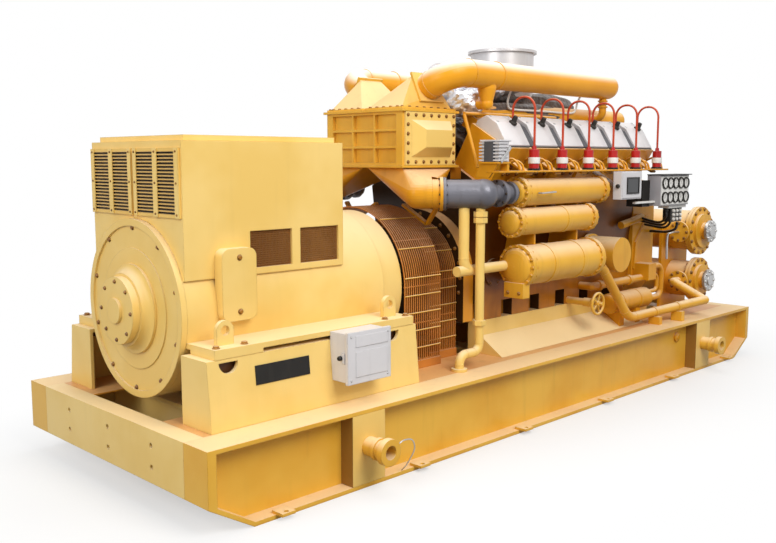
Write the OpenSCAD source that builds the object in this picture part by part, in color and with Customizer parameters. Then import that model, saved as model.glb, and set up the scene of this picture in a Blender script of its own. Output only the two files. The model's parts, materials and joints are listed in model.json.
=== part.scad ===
// Gas engine generator set on a sled skid: a V engine with twin charge pipes over it, a generator with
// an air hood, wire guards over the coupling between them, and two water coolers at the free end.
// Millimetres. +X runs from the generator end to the free end, -Y is the operator's side, +Z is up.

/* [Skid] */
// Length of the skid
skid_l = 5120; // [4900:10:5400]
// Width of the skid over its side beams
skid_w = 1680; // [1620:10:1800]
// Height of the skid
skid_h = 382; // [340:2:420]
// Width of the flanges of a side beam
flange_w = 180; // [160:2:200]
// Thickness of the flanges
flange_t = 20; // [12:1:26]
// Thickness of the webs
web_t = 14; // [8:1:20]
// Thickness of the deck plates
deck_t = 8; // [5:1:12]
// Height of the plates that close the ends
end_plate_h = 248; // [200:2:300]
// Thickness of the end plates seen from the side
end_plate_t = 44; // [20:1:60]
// Length of the slope under each end
sled_l = 228; // [150:2:300]
// Distance between hold-down lugs
lug_pitch = 872; // [800:2:900]
// Size of a hold-down lug
lug_size = 74; // [60:1:90]
// Thickness of a hold-down lug
lug_t = 14; // [8:1:20]
// Radius of a hold-down hole
lug_hole_r = 11; // [7:0.5:13]

/* [Water ports] */
// Distance of the first water port from the generator end of the skid
port_gen_in = 904; // [860:2:940]
// Distance of the second water port from the free end of the skid
port_free_in = 783; // [740:2:820]
// Width of the box round a port
port_box_w = 212; // [170:2:240]
// Height of the port's centre line
port_z = 200; // [180:2:210]
// Length of a port's stub pipe beyond the beam
port_l = 148; // [120:2:180]
// Outside radius of the stub pipe
port_r = 48; // [40:1:54]
// Outside radius of the coupling ring at the mouth
port_ring_r = 65; // [58:1:72]
// Bore radius of the stub pipe
port_bore_r = 34; // [28:1:38]

/* [Generator] */
// Height of the shaft line over the skid
shaft_h = 471; // [455:1:490]
// Length of the generator over its end plates
gen_l = 1406; // [1380:2:1440]
// Radius of the generator's frame
gen_r = 428; // [415:1:440]
// Thickness of the round end plate
end_bell_t = 30; // [20:1:45]
// Radius of the bearing boss
boss_r = 160; // [140:1:180]
// Reach of the bearing boss beyond the end plate
boss_l = 92; // [70:1:120]
// Height of the pedestal under the generator
pedestal_h = 313; // [300:1:320]
// Length of the pedestal
pedestal_l = 1300; // [1240:5:1340]
// Thickness of the pedestal's plates
pedestal_t = 18; // [10:1:24]
// Height of the pads under the generator's feet
foot_pad_h = 20; // [12:1:24]
// Thickness of the generator's feet
foot_t = 25; // [18:1:32]
// Distance from the shaft to the outer edge of the feet
foot_reach = 632; // [610:1:640]

/* [Air hood] */
// Length of the hood
hood_l = 944; // [900:2:980]
// Half width of the hood
hood_half_w = 410; // [400:1:425]
// Height of the hood's lower edge over the shaft
hood_low = 145; // [130:1:170]
// Height of the hood's top over the shaft
hood_high = 787; // [740:1:820]
// Height of the raised lid
lid_h = 26; // [15:1:40]
// Height of a louvre panel
louvre_h = 312; // [280:2:340]
// Slats in one column of louvres
slats = 18; // [10:1:22]

/* [Coupling guards] */
// Gap between the generator and the flywheel housing
coupling_gap = 540; // [520:2:580]
// Length of the tall guard
tall_guard_l = 292; // [260:2:320]
// Radius of the tall guard
tall_guard_r = 434; // [425:1:445]
// Radius of the low guard
low_guard_r = 345; // [330:1:360]
// Thickness of the guard's bars
guard_wire = 6; // [4:0.5:8]
// Distance between bars
guard_pitch = 16; // [13:0.5:22]

/* [Engine] */
// Place of the block's flywheel end along the skid
engine_x = -370; // [-400:2:-340]
// Distance between cylinders
bore_pitch = 288; // [280:1:296]
// Half of the angle between the banks
bank_angle = 30; // [28:0.5:31]
// Distance from a cylinder to the block's end
block_end = 150; // [140:1:170]
// Half width of a bank
bank_half_w = 150; // [140:1:156]
// Height of a bank's deck over the shaft, along the bank
deck_s = 700; // [690:1:720]
// Height of a cylinder head
head_h = 275; // [260:1:290]
// Length of a cylinder head along the engine
head_l = 250; // [230:1:270]
// Height of a valve cover
cover_h = 85; // [70:1:95]
// Length of a valve cover along the engine
cover_l = 222; // [200:1:240]
// Height of the engine bed over the skid
bed_h = 203; // [190:1:215]
// Thickness of the flywheel housing
housing_t = 90; // [70:1:110]
// Length of the gear case at the free end
gear_case_l = 300; // [260:2:340]

/* [Charge air] */
// Radius of the charge pipes over the banks
charge_r = 80; // [72:1:86]
// Distance of the charge pipes from the centre line
charge_y = 430; // [420:1:445]
// Height of the charge pipes over the shaft
charge_h = 1197; // [1188:1:1210]
// Bend radius of the charge pipes
charge_bend = 150; // [140:1:160]
// Length of the charge cooler along the engine
cooler_core_l = 450; // [420:2:480]
// Half width of the charge cooler
cooler_core_half_w = 317; // [300:1:330]
// Height of the charge cooler
cooler_core_h = 328; // [310:1:340]
// Height of the charge cooler's underside over the shaft
cooler_core_low = 657; // [650:1:670]
// Radius of the intake manifolds
manifold_r = 65; // [55:1:70]
// Radius of the round mouths of the charge scoops
duct_r = 82; // [76:1:88]

/* [Exhaust] */
// Radius of the exhaust stack
stack_r = 230; // [215:1:240]
// Height of the stack's top over the skid
stack_top = 1893; // [1850:1:1930]
// Radius of the exhaust manifold
exhaust_r = 125; // [110:1:132]

/* [Side vessels] */
// Radius of the upper vessel
upper_vessel_r = 90; // [82:1:94]
// Radius of the filter vessel
filter_r = 90; // [82:1:94]
// Radius of the oil cooler
oil_cooler_r = 128; // [115:1:132]
// Distance of the side vessels from the centre line
vessel_y = 650; // [645:1:665]

/* [Coolers] */
// Distance of the water coolers from the free end of the skid
water_cooler_in = 390; // [360:2:420]
// Radius of the upper water cooler
upper_cooler_r = 155; // [140:1:160]
// Radius of the lower water cooler
lower_cooler_r = 140; // [125:1:145]
// Half length of the water coolers between their end flanges
water_cooler_half_l = 600; // [570:2:620]

/* [Drain valve] */
// Radius of the handwheel
handwheel_r = 78; // [65:1:85]
// Radius of the valve stem
stem_r = 9; // [7:0.5:12]

/* [Hidden] */

$fn = 48;
seat = 0.3; // clearance between a curved seat and what lies in it
over = 1;   // overrun of a cut beyond the face it opens

enamel = [0.93, 0.72, 0.30];
silver = [0.80, 0.80, 0.80];
foil = [0.70, 0.70, 0.68];
soot = [0.22, 0.21, 0.20];
wire_brown = [0.62, 0.44, 0.20];
box_white = [0.86, 0.87, 0.88];
coil_red = [0.75, 0.12, 0.10];
lead_orange = [0.85, 0.30, 0.12];
mixer_grey = [0.45, 0.48, 0.50];

// Skid
half_w = skid_w / 2;
overhang = (flange_w - web_t) / 2;
inner_half_w = half_w - flange_w;
sled_z = skid_h - end_plate_h;
sled_slope = sqrt(sled_z * sled_z + sled_l * sled_l);
pocket_x = skid_l / 2 - end_plate_t;
pocket_z = sled_z + (flange_t * sled_slope - sled_z * end_plate_t) / sled_l;
pocket_low_x = skid_l / 2 - sled_l - flange_t * (sled_slope - sled_l) / sled_z;
lug_out = 45;
lug_hole_out = 24;
lugs_per_side = 2 * floor((skid_l / 2 - sled_l - lug_size / 2 - lug_pitch / 2) / lug_pitch) + 2;
port_xs = [port_gen_in - skid_l / 2, skid_l / 2 - port_free_in];
channel_depth = 100;
member_w = 140;
member_h = skid_h - deck_t;
deck_in = 330; // distance from the centre line to the inner edge of the deck plates

// Shaft line, generator and engine along X
shaft_z = skid_h + shaft_h;
housing_x = engine_x - housing_t;
gen_x1 = housing_x - coupling_gap;
gen_x0 = gen_x1 - gen_l;
pedestal_out = 11;    // how far the pedestal stands out beyond the end plate
pedestal_x = gen_x0 - pedestal_out;
pedestal_top = skid_h + pedestal_h;
foot_low = pedestal_top + foot_pad_h;
hood_in = 32;          // distance of the hood from the end plate
hood_x = gen_x0 + hood_in;
hood_z0 = shaft_z + hood_low;
hood_z1 = shaft_z + hood_high;
adapter_l = 150;
adapter_step = 14;
guard_gap = 4;         // gap at the ends of each guard

// Engine
cylinders = 6;
cyl_x = [for (i = [0 : cylinders - 1]) engine_x + block_end + i * bore_pitch];
block_l = 2 * block_end + (cylinders - 1) * bore_pitch;
block_x1 = engine_x + block_l;
bed_top = skid_h + bed_h;
bed_half_w = 430;
case_half_w = 430;
sump_half_w = 360;
rib_h = 105;
case_z = bed_top + rib_h;
case_shoulder = 150;  // height over the shaft where the block starts to widen
skirt_out = 600;
skirt_h = 110;
gear_half_w = 460;
gasket = 0.2; // gap under the heads
cover_s = deck_s + head_h;
cover_top_s = cover_s + cover_h;
gear_x1 = block_x1 + gear_case_l;

// Charge air path
charge_z = shaft_z + charge_h;
core_x0 = housing_x + 10 - cooler_core_l;
core_z0 = shaft_z + cooler_core_low;
core_z1 = core_z0 + cooler_core_h;
hood_tilt = 65;       // lean of the cooler's outlets from upright
hood_stub = 35;       // straight length between an outlet's flange and its bend
hood_flange_l = 200;
hood_flange_w = 2 * charge_r + 24;
hood_flange_t = 14;
hood_flange_y = charge_y - (charge_bend + hood_stub) * sin(hood_tilt);
hood_flange_z = charge_z - (charge_bend + hood_stub) * cos(hood_tilt);
outlet_in = 270;      // distance of the outlets from the cooler's generator-side face
charge_start_x = core_x0 + outlet_in;
charge_short = 360;   // how far the charge pipes stop short of the block's end
charge_end_x = block_x1 - charge_short;
manifold_y = 264;
manifold_z = shaft_z + 987;
manifold_w = -manifold_y * cos(bank_angle) + (manifold_z - shaft_z) * sin(bank_angle);
manifold_s = manifold_y * sin(bank_angle) + (manifold_z - shaft_z) * cos(bank_angle);
skin = 2;             // thickness of the sheets that a blended shape starts and ends with
duct_l = 60;          // straight length of a horn's mouth
mixer_turn = 45;      // lean of the mixers from the engine's length, seen from above
mixer_l = 228;        // length of a mixer from the horn's mouth to its corner
mixer_in = 220;       // distance of that corner from the block
mixer_r = duct_r - 2;
mixer_corner_r = mixer_r + 4;
mixer_neck_r = 50;

// Exhaust
exhaust_z = shaft_z + 845;
turbo_y = 142;
turbo_z = exhaust_z + 232;
turbo_r = 80;
turbo_x0 = engine_x + 25;
turbo_l = 285;
drum_x0 = engine_x + 270;
drum_l = 190;
drum_z = exhaust_z + 347;
drum_r = 132;
branch_x = turbo_x0 + 45; // place of the pipe from a compressor to its charge pipe
branch_r = 34;
stack_x = engine_x + 760;
stack_z0 = charge_z - 85;
stack_z1 = skid_h + stack_top;
stack_wall = 12;
stack_lip = 20;

// Side vessels
upper_vessel_z = shaft_z + 512;
filter_z = shaft_z + 340;
oil_cooler_z = shaft_z + 78;
vessel_x0 = engine_x + 75;
upper_lip = 10;
oil_lip = 10;
upper_vessel_l = 880;
mixer_dir = [cos(mixer_turn), -sin(mixer_turn), 0];
mixer_end = [engine_x - mixer_in, -vessel_y, upper_vessel_z];
mouth = mixer_end - mixer_l * mixer_dir;
filter_x0 = vessel_x0 - 45;
filter_l = 800;
oil_cooler_x0 = vessel_x0 + 20;
oil_cooler_l = 775;
oil_stub_l = 40;
oil_stub_drop = 60;   // how far the oil cooler's outlet lies under its axis
dish_depth = 26;
mixer_x1 = vessel_x0 - dish_depth - seat;
door_r = 85;
door_t = 14;
door_z = shaft_z + 20;
coil_y = 690;
coil_z = shaft_z + 640;
coil_h = 120;
rail_x0 = housing_x - 100;
rail_w = 90;

// Coolers at the free end
water_cooler_x = skid_l / 2 - water_cooler_in;
nozzle_in = 72;       // distance of a cooler's nozzles from its end flange
cooler_head_l = 62;
nozzle_l = 60;
nozzle_t = 16;
upper_cooler_z = shaft_z + 150;
lower_cooler_z = shaft_z - 235;

// Priming pump
pump_l = 480;
pump_x = block_x1 - 430;
pump_r = 72;
pump_y = 540;
pump_z = skid_h + 173;
pump_end_r = pump_r - 5;
pump_end_depth = 20;

// Drain valve
valve_x = cyl_x[3] - 44;
valve_y = 560;
valve_z = bed_top + 25;
stem_gap = 0.05; // running clearance of the handwheel's hub on the stem

// Placement helpers
module both_sides() {
    children();
    mirror([0, 1, 0]) children();
}

// A profile drawn in Y and Z, carried along X
module along_x(x0, l) {
    translate([x0, 0, 0]) rotate([90, 0, 90]) linear_extrude(l) children();
}

// A profile drawn in X and Z, carried along Y
module along_y(y0, l) {
    translate([0, y0 + l, 0]) rotate([90, 0, 0]) linear_extrude(l) children();
}

module rod_x(x0, y, z, l, r) {
    translate([x0, y, z]) rotate([0, 90, 0]) cylinder(h = l, r = r);
}

module rod_y(x, y0, z, l, r) {
    translate([x, y0, z]) rotate([-90, 0, 0]) cylinder(h = l, r = r);
}

module box(x0, x1, y0, y1, z0, z1) {
    translate([x0, y0, z0]) cube([x1 - x0, y1 - y0, z1 - z0]);
}

// A straight tube between two points
module strut(a, b, r) {
    d = unit(b - a);
    u = side_of(d);
    frame_of(u, cross(d, u), d, a) cylinder(h = norm(b - a), r = r);
}

// A dished head on the drum of radius r whose end face is at x, bulging by depth towards side
module dished_end(x, y, z, r, depth, side) {
    turns = 6;
    translate([x, y, z]) rotate([0, side * 90, 0]) rotate_extrude()
        polygon(concat([[0, -over], [r, -over]],
                       [for (i = [0 : turns]) [r * cos(90 * i / turns), depth * sin(90 * i / turns)]]));
}

// The operator's side bank: local Z runs up the bank and local Y towards the valley
module bank() {
    translate([0, 0, shaft_z]) rotate([bank_angle, 0, 0]) children();
}

// A round pipe through the given points, each corner bent to the radius bend and welded to the straights
function unit(v) = v / norm(v);
function side_of(v) = unit(abs(v[2]) > 0.9 * norm(v) ? cross(v, [0, 1, 0]) : cross(v, [0, 0, 1]));
function turn(a, b) = acos(max(-1, min(1, a * b)));
function set_back(p, i, bend) = (i == 0 || i == len(p) - 1) ? 0
    : bend * tan(turn(unit(p[i] - p[i - 1]), unit(p[i + 1] - p[i])) / 2);

module frame_of(u, v, w, at) {
    multmatrix([[u[0], v[0], w[0], at[0]], [u[1], v[1], w[1], at[1]],
                [u[2], v[2], w[2], at[2]], [0, 0, 0, 1]]) children();
}

module pipe(p, r, bend) {
    bead_r = r * 1.03 + 0.5;
    bead_l = r * 0.12 + 1;
    for (i = [0 : len(p) - 2]) {
        a = unit(p[i + 1] - p[i]);
        u = side_of(a);
        from = p[i] + a * set_back(p, i, bend);
        to = p[i + 1] - a * set_back(p, i + 1, bend);
        frame_of(u, cross(a, u), a, from) {
            cylinder(h = norm(to - from), r = r);
            if (i > 0) cylinder(h = bead_l, r = bead_r, center = true);
            if (i < len(p) - 2)
                translate([0, 0, norm(to - from)]) cylinder(h = bead_l, r = bead_r, center = true);
        }
    }
    if (len(p) > 2) {
        for (i = [1 : len(p) - 2]) {
            a = unit(p[i] - p[i - 1]);
            b = unit(p[i + 1] - p[i]);
            n = unit(b - a * (a * b));
            centre = p[i] - a * set_back(p, i, bend) + n * bend;
            frame_of(-n, a, cross(-n, a), centre)
                rotate_extrude(angle = turn(a, b)) translate([bend, 0]) circle(r);
        }
    }
}

// A pipe of straights with a ball at each joint
ball = 1.04; // size of the ball against the pipe

module jointed(p, r) {
    for (i = [0 : len(p) - 2]) strut(p[i], p[i + 1], r);
    if (len(p) > 2)
        for (i = [1 : len(p) - 2]) {
            a = unit(p[i] - p[i - 1]);
            b = unit(p[i + 1] - p[i]);
            out = unit(a - b);
            n = unit(cross(a, b));
            frame_of(out, cross(n, out), n, p[i]) sphere(r * ball);
        }
}

// Skid
module beam_outline() {
    polygon([[-skid_l / 2, sled_z], [-skid_l / 2 + sled_l, 0], [skid_l / 2 - sled_l, 0],
             [skid_l / 2, sled_z], [skid_l / 2, skid_h], [-skid_l / 2, skid_h]]);
}

module beam_pocket() {
    polygon([[-pocket_x, pocket_z], [-pocket_low_x, flange_t], [pocket_low_x, flange_t],
             [pocket_x, pocket_z], [pocket_x, skid_h - flange_t], [-pocket_x, skid_h - flange_t]]);
}

module side_beams() {
    color(enamel) both_sides() difference() {
        along_y(-half_w, flange_w) beam_outline();
        along_y(-half_w - over, overhang + over) beam_pocket();
        along_y(-half_w + overhang + web_t, overhang + over) beam_pocket();
    }
}

module cross_members() {
    hole_r = 12;
    hole_y = [-0.6, 0, 0.6]; // shares of the half width between the beams
    hole_z = [0.3, 0.7];     // shares of the end plate's height
    pedestal_in = [250, 150];
    engine_in = 180;
    member_x = [pedestal_x + pedestal_in[0], pedestal_x + pedestal_l - pedestal_in[1],
                gen_x1 + tall_guard_l, engine_x + engine_in, block_x1 - engine_in, water_cooler_x];
    color(enamel) {
        for (side = [-1, 1])
            difference() {
                along_y(-inner_half_w, 2 * inner_half_w)
                    difference() {
                        translate([side * (skid_l / 2 - channel_depth / 2) - channel_depth / 2, sled_z])
                            square([channel_depth, end_plate_h]);
                        translate([side * (skid_l / 2 - web_t - channel_depth / 2) - channel_depth / 2,
                                   sled_z + flange_t])
                            square([channel_depth, end_plate_h - 2 * flange_t]);
                    }
                if (side < 0)
                    for (y = hole_y, z = hole_z)
                        rod_x(-skid_l / 2 - over, y * inner_half_w, sled_z + z * end_plate_h,
                              web_t + 2 * over, hole_r);
            }
        for (x = member_x)
            along_y(-inner_half_w, 2 * inner_half_w) translate([x, 0]) {
                translate([-member_w / 2, 0]) square([member_w, flange_t]);
                translate([-web_t / 2, 0]) square([web_t, member_h]);
                translate([-member_w / 2, member_h - flange_t]) square([member_w, flange_t]);
            }
    }
}

module deck_plates() {
    color(enamel) both_sides()
        box(-skid_l / 2 + channel_depth, skid_l / 2 - channel_depth, -inner_half_w, -deck_in,
            member_h, skid_h);
}

module hold_down_lugs() {
    color(enamel) both_sides()
        for (i = [0 : lugs_per_side - 1])
            translate([(i - (lugs_per_side - 1) / 2) * lug_pitch, -half_w, flange_t])
                difference() {
                    translate([-lug_size / 2, -lug_out, 0]) cube([lug_size, lug_size, lug_t]);
                    translate([0, -lug_hole_out, -over]) cylinder(h = lug_t + 2 * over, r = lug_hole_r);
                }
}

module water_port_boxes() {
    color(enamel) both_sides()
        for (x = port_xs)
            box(x - port_box_w / 2, x + port_box_w / 2, -half_w, -half_w + overhang,
                flange_t, skid_h - flange_t);
}

module water_port_stubs() {
    ring_l = 34;
    band_l = 22;
    band_h = 7;
    band_share = 0.55;
    blind_l = 12;
    color(enamel) both_sides()
        for (x = port_xs)
            difference() {
                union() {
                    rod_y(x, -half_w - port_l, port_z, port_l, port_r);
                    rod_y(x, -half_w - port_l, port_z, ring_l, port_ring_r);
                    rod_y(x, -half_w - port_l * band_share, port_z, band_l, port_r + band_h);
                }
                rod_y(x, -half_w - port_l - over, port_z, port_l - blind_l + over, port_bore_r);
            }
}

module engine_bed() {
    bed_in = 40;
    skirt_l = 1660;
    color(enamel) both_sides() {
        box(engine_x + bed_in, gear_x1, -bed_half_w, -deck_in, skid_h, bed_top);
        along_x(engine_x + bed_in, skirt_l)
            polygon([[-skirt_out, skid_h], [-bed_half_w, skid_h + skirt_h], [-bed_half_w, skid_h]]);
    }
}

// Generator
lean = 30; // how far the pedestal's sides lean in from bottom to top
function panel_y(z) = lean * (z - skid_h) / pedestal_h - inner_half_w;

module generator_pedestal() {
    inner = 430;
    bottom_y = inner_half_w;
    notch_r = 50;
    notch_in = [112, 180];
    notch_z = pedestal_top - 16;
    notch_back = 60;
    color(enamel) both_sides() difference() {
        union() {
            along_x(pedestal_x, pedestal_l)
                polygon([[-bottom_y, skid_h], [-bottom_y + lean, pedestal_top],
                         [-inner, pedestal_top], [-inner, pedestal_top - pedestal_t],
                         [-bottom_y + lean + pedestal_t, pedestal_top - pedestal_t],
                         [-bottom_y + pedestal_t, skid_h]]);
            for (x = [pedestal_x, pedestal_x + pedestal_l - pedestal_t])
                along_x(x, pedestal_t)
                    polygon([[-bottom_y, skid_h], [-bottom_y + lean, pedestal_top],
                             [-inner, pedestal_top], [-inner, skid_h]]);
        }
        for (x = [pedestal_x + notch_in[0], pedestal_x + pedestal_l - notch_in[1]])
            along_y(-half_w, half_w - inner - notch_back)
                intersection() {
                    translate([x, notch_z]) circle(notch_r);
                    translate([x - notch_r, notch_z - notch_r]) square([2 * notch_r, notch_r]);
                }
    }
}

module generator_frame() {
    pad_l = 260;
    pad_in = 60;
    foot_gap = 2;
    foot_end = 20;
    foot_x0 = gen_x0 + end_bell_t + foot_gap;
    foot_x1 = pedestal_x + pedestal_l - foot_end;
    foot_in = 380;
    eye_w = 90;
    eye_h = 110;
    eye_t = 24;
    eye_in = 60;
    eye_y = -foot_reach + 70;
    eye_r = 22;
    eye_z = foot_low + foot_t + eye_h - eye_w / 2;
    color(enamel) {
        rod_x(gen_x0 + end_bell_t, 0, shaft_z, gen_l - end_bell_t - adapter_l, gen_r);
        rod_x(gen_x1 - adapter_l, 0, shaft_z, adapter_l, gen_r - adapter_step);
        both_sides() {
            box(foot_x0, foot_x1, -foot_reach, -foot_in, foot_low, foot_low + foot_t);
            for (x = [foot_x0, foot_x1 - pad_l])
                box(x, x + pad_l, -foot_reach, -foot_in - pad_in, pedestal_top, foot_low);
            for (x = [foot_x0 + eye_in, foot_x1 - eye_in - eye_w])
                difference() {
                    along_y(eye_y, eye_t)
                        union() {
                            translate([x, foot_low + foot_t]) square([eye_w, eye_h - eye_w / 2]);
                            translate([x + eye_w / 2, eye_z]) circle(eye_w / 2);
                        }
                    rod_y(x + eye_w / 2, eye_y - over, eye_z, eye_t + 2 * over, eye_r);
                }
        }
    }
}

module generator_end_plate() {
    rim_w = 34;
    rim_h = 10;
    step_r = 290;
    step_h = 6;
    color(enamel) difference() {
        rod_x(gen_x0, 0, shaft_z, end_bell_t, gen_r);
        difference() {
            rod_x(gen_x0 - over, 0, shaft_z, rim_h + over, gen_r - rim_w);
            rod_x(gen_x0 - 2 * over, 0, shaft_z, rim_h + 3 * over, step_r);
        }
        rod_x(gen_x0 - over, 0, shaft_z, rim_h - step_h + over, step_r + over);
    }
}

module bearing_cover() {
    root_r = 55;
    root_lip = 14;
    root_gap = 0.001;
    cap_r = 60;
    cap_h = 14;
    cover_sunk = 4; // depth of the raised step's face in the end plate
    color(enamel) translate([gen_x0 + cover_sunk, 0, shaft_z]) rotate([0, -90, 0]) rotate_extrude()
        difference() {
            union() {
                square([boss_r + root_r, root_r]);
                square([boss_r, boss_l]);
                square([cap_r, boss_l + cap_h]);
            }
            translate([boss_r + root_r, root_r + root_gap]) circle(root_r - root_lip);
        }
}

module hood_outline() {
    chamfer = 60;
    polygon([[-hood_half_w, hood_z0 + chamfer / 3], [-hood_half_w, hood_z1], [hood_half_w, hood_z1],
             [hood_half_w, hood_z0 + chamfer / 3], [hood_half_w - chamfer, hood_z0],
             [-hood_half_w + chamfer, hood_z0]]);
}

module air_hood() {
    color(enamel) difference() {
        along_x(hood_x, hood_l) hood_outline();
        rod_x(hood_x - over, 0, shaft_z, hood_l + 2 * over, gen_r + seat);
        window_pockets();
    }
}

window_z0 = hood_z0 + 50;
window_h = 175;
window_l = 250;
window_gap = 52;
window_x = hood_x + 360;
window_depth = 22;

module window_pockets() {
    both_sides()
        for (i = [0, 1])
            box(window_x + i * (window_l + window_gap), window_x + i * (window_l + window_gap) + window_l,
                -hood_half_w - over, -hood_half_w + window_depth, window_z0, window_z0 + window_h);
}

module hood_screens() {
    bar = 8;
    rows = 7;
    columns = 10;
    screen_t = 8;
    color(wire_brown) both_sides()
        for (i = [0, 1])
            translate([window_x + i * (window_l + window_gap), -hood_half_w + window_depth - screen_t,
                       window_z0]) {
                for (c = [0 : columns])
                    translate([c * (window_l - bar) / columns, 0, 0]) cube([bar, screen_t, window_h]);
                for (r = [0 : rows])
                    translate([0, 0, r * (window_h - bar) / rows]) cube([window_l, screen_t, bar]);
            }
}

module air_hood_lid() {
    inset = 30;
    color(enamel) box(hood_x + inset, hood_x + hood_l - inset, -hood_half_w + inset, hood_half_w - inset,
                      hood_z1, hood_z1 + lid_h);
}

module louvre_panels() {
    panel_t = 10;
    back_t = 4;
    edge = 14;
    mid_in = 10;
    top_in = 32;
    tilt = 30;
    panel_w = hood_half_w - 2 * mid_in;
    panel_z = hood_z1 - top_in - louvre_h;
    slat_start = 0.25;
    slot_w = (panel_w - 3 * edge) / 2;
    slot_pitch = (louvre_h - 2 * edge) / slats;
    color(wire_brown) both_sides() difference() {
        box(hood_x - panel_t, hood_x, -mid_in - panel_w, -mid_in, panel_z, panel_z + louvre_h);
        for (c = [0, 1], i = [0 : slats - 1])
            translate([hood_x - panel_t, -mid_in - panel_w + edge + c * (slot_w + edge),
                       panel_z + edge + (i + slat_start) * slot_pitch])
                rotate([0, tilt, 0]) translate([-panel_t, 0, 0])
                    cube([2 * panel_t - back_t, slot_w, slot_pitch / 2]);
    }
}

module terminal_covers() {
    cover_x = hood_x + 158;
    cover_w = 190;
    cover_z0 = shaft_z - 34;
    cover_hgt = 335;
    proud = 62;
    back = 150;
    round_r = 40;
    color(enamel) both_sides() difference() {
        along_y(-hood_half_w - proud, proud + back)
            union() {
                translate([cover_x + round_r, cover_z0]) square([cover_w - 2 * round_r, cover_hgt]);
                translate([cover_x, cover_z0 + round_r]) square([cover_w, cover_hgt - 2 * round_r]);
                for (x = [round_r, cover_w - round_r], z = [round_r, cover_hgt - round_r])
                    translate([cover_x + x, cover_z0 + z]) circle(round_r);
            }
        rod_x(cover_x - over, 0, shaft_z, cover_w + 2 * over, gen_r + seat);
        along_x(cover_x - over, cover_w + 2 * over)
            square([2 * (hood_half_w + seat), 3 * hood_high], center = true);
    }
}

module control_box() {
    box_x = pedestal_x + 700;
    box_w = 270;
    box_d = 105;
    box_z = skid_h + 118;
    box_h = 236;
    lid_t = 18;
    lid_edge = 8;
    latch = [8, 25, 50];
    front_y = -inner_half_w - box_d + lean / 2;
    back_y = -foot_reach - seat;
    color(box_white) {
        along_x(box_x, box_w)
            polygon([[front_y, box_z], [front_y, box_z + box_h], [back_y, box_z + box_h],
                     [back_y, pedestal_top], [panel_y(pedestal_top), pedestal_top],
                     [panel_y(box_z), box_z]]);
        box(box_x - lid_edge, box_x + box_w + lid_edge, front_y - lid_t, front_y,
            box_z - lid_edge, box_z + box_h + lid_edge);
        translate([box_x - latch[0], front_y + lid_edge, box_z + (box_h - latch[2]) / 2]) cube(latch);
    }
}

module bare_plate() {
    plate_x = pedestal_x + 250;
    plate_w = 312;
    plate_h = 88;
    plate_t = 4;
    plate_z = skid_h + 172;
    lean_angle = atan(lean / pedestal_h);
    color(soot) translate([plate_x, -inner_half_w, skid_h]) rotate([-lean_angle, 0, 0])
        translate([0, -plate_t, plate_z - skid_h]) cube([plate_w, plate_t, plate_h]);
}

// Guards: square bars bent to an arch with straight legs, tied by bars along X
module arch_ring(r, foot) {
    difference() {
        union() {
            intersection() {
                circle(r);
                translate([-r, 0]) square([2 * r, r]);
            }
            translate([-r, -foot]) square([2 * r, foot]);
        }
        circle(r - guard_wire);
        translate([-r + guard_wire, -foot - over]) square([2 * (r - guard_wire), foot + over]);
    }
}

module guard(x0, l, r) {
    ties = 5;
    rail_h = 46;
    rail_w = 40;
    rail_in = 10;
    foot = shaft_z - skid_h - rail_h + over;
    hoops = floor((l - guard_wire) / guard_pitch);
    step = (l - guard_wire) / hoops;
    for (i = [0 : hoops])
        along_x(x0 + i * step, guard_wire) translate([0, shaft_z]) arch_ring(r, foot);
    for (i = [0 : ties])
        translate([x0, 0, shaft_z]) rotate([i * 180 / ties, 0, 0])
            translate([0, r - guard_wire * 1.5, -guard_wire / 2]) cube([l, guard_wire, guard_wire]);
    for (side = [-1, 1], z = [-foot / 2, -foot])
        translate([x0, side * (r - guard_wire) - guard_wire / 2, shaft_z + z])
            cube([l, guard_wire, guard_wire]);
    for (side = [-1, 1])
        box(x0, x0 + l, side * (r - rail_in) - rail_w / 2, side * (r - rail_in) + rail_w / 2,
            skid_h, skid_h + rail_h);
}

module tall_guard() {
    color(wire_brown) guard(gen_x1 + guard_gap, tall_guard_l, tall_guard_r);
}

module low_guard() {
    color(wire_brown) guard(gen_x1 + tall_guard_l + 2 * guard_gap,
                            coupling_gap - tall_guard_l - 3 * guard_gap, low_guard_r);
}

module coupling() {
    shaft_r = 75;
    hub_in = 30;
    hub_l = 110;
    hub_r = 190;
    wheel_in = 170;
    wheel_l = 120;
    wheel_gap = 40;
    color(soot) {
        rod_x(gen_x1, 0, shaft_z, coupling_gap, shaft_r);
        rod_x(gen_x1 + hub_in, 0, shaft_z, hub_l, hub_r);
        rod_x(housing_x - wheel_in, 0, shaft_z, wheel_l, low_guard_r - wheel_gap);
    }
}

// Engine
module flywheel_housing() {
    housing_r = 400;
    color(enamel) along_x(housing_x, housing_t)
        union() {
            translate([0, shaft_z]) circle(housing_r);
            translate([-housing_r, bed_top]) square([2 * housing_r, shaft_z - bed_top]);
        }
}

module crankcase_profile() {
    valley_drop = 240;
    low_s = deck_s - valley_drop;
    out_y = deck_s * sin(bank_angle) + bank_half_w * cos(bank_angle);
    out_z = shaft_z + deck_s * cos(bank_angle) - bank_half_w * sin(bank_angle);
    in_y = deck_s * sin(bank_angle) - bank_half_w * cos(bank_angle);
    in_z = shaft_z + deck_s * cos(bank_angle) + bank_half_w * sin(bank_angle);
    val_y = low_s * sin(bank_angle) - bank_half_w * cos(bank_angle);
    val_z = shaft_z + low_s * cos(bank_angle) + bank_half_w * sin(bank_angle);
    polygon([[-sump_half_w, bed_top], [-sump_half_w, case_z], [-case_half_w, case_z],
             [-case_half_w, shaft_z + case_shoulder], [-out_y, out_z], [-in_y, in_z], [-val_y, val_z],
             [val_y, val_z], [in_y, in_z], [out_y, out_z], [case_half_w, shaft_z + case_shoulder],
             [case_half_w, case_z], [sump_half_w, case_z], [sump_half_w, bed_top]]);
}

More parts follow.
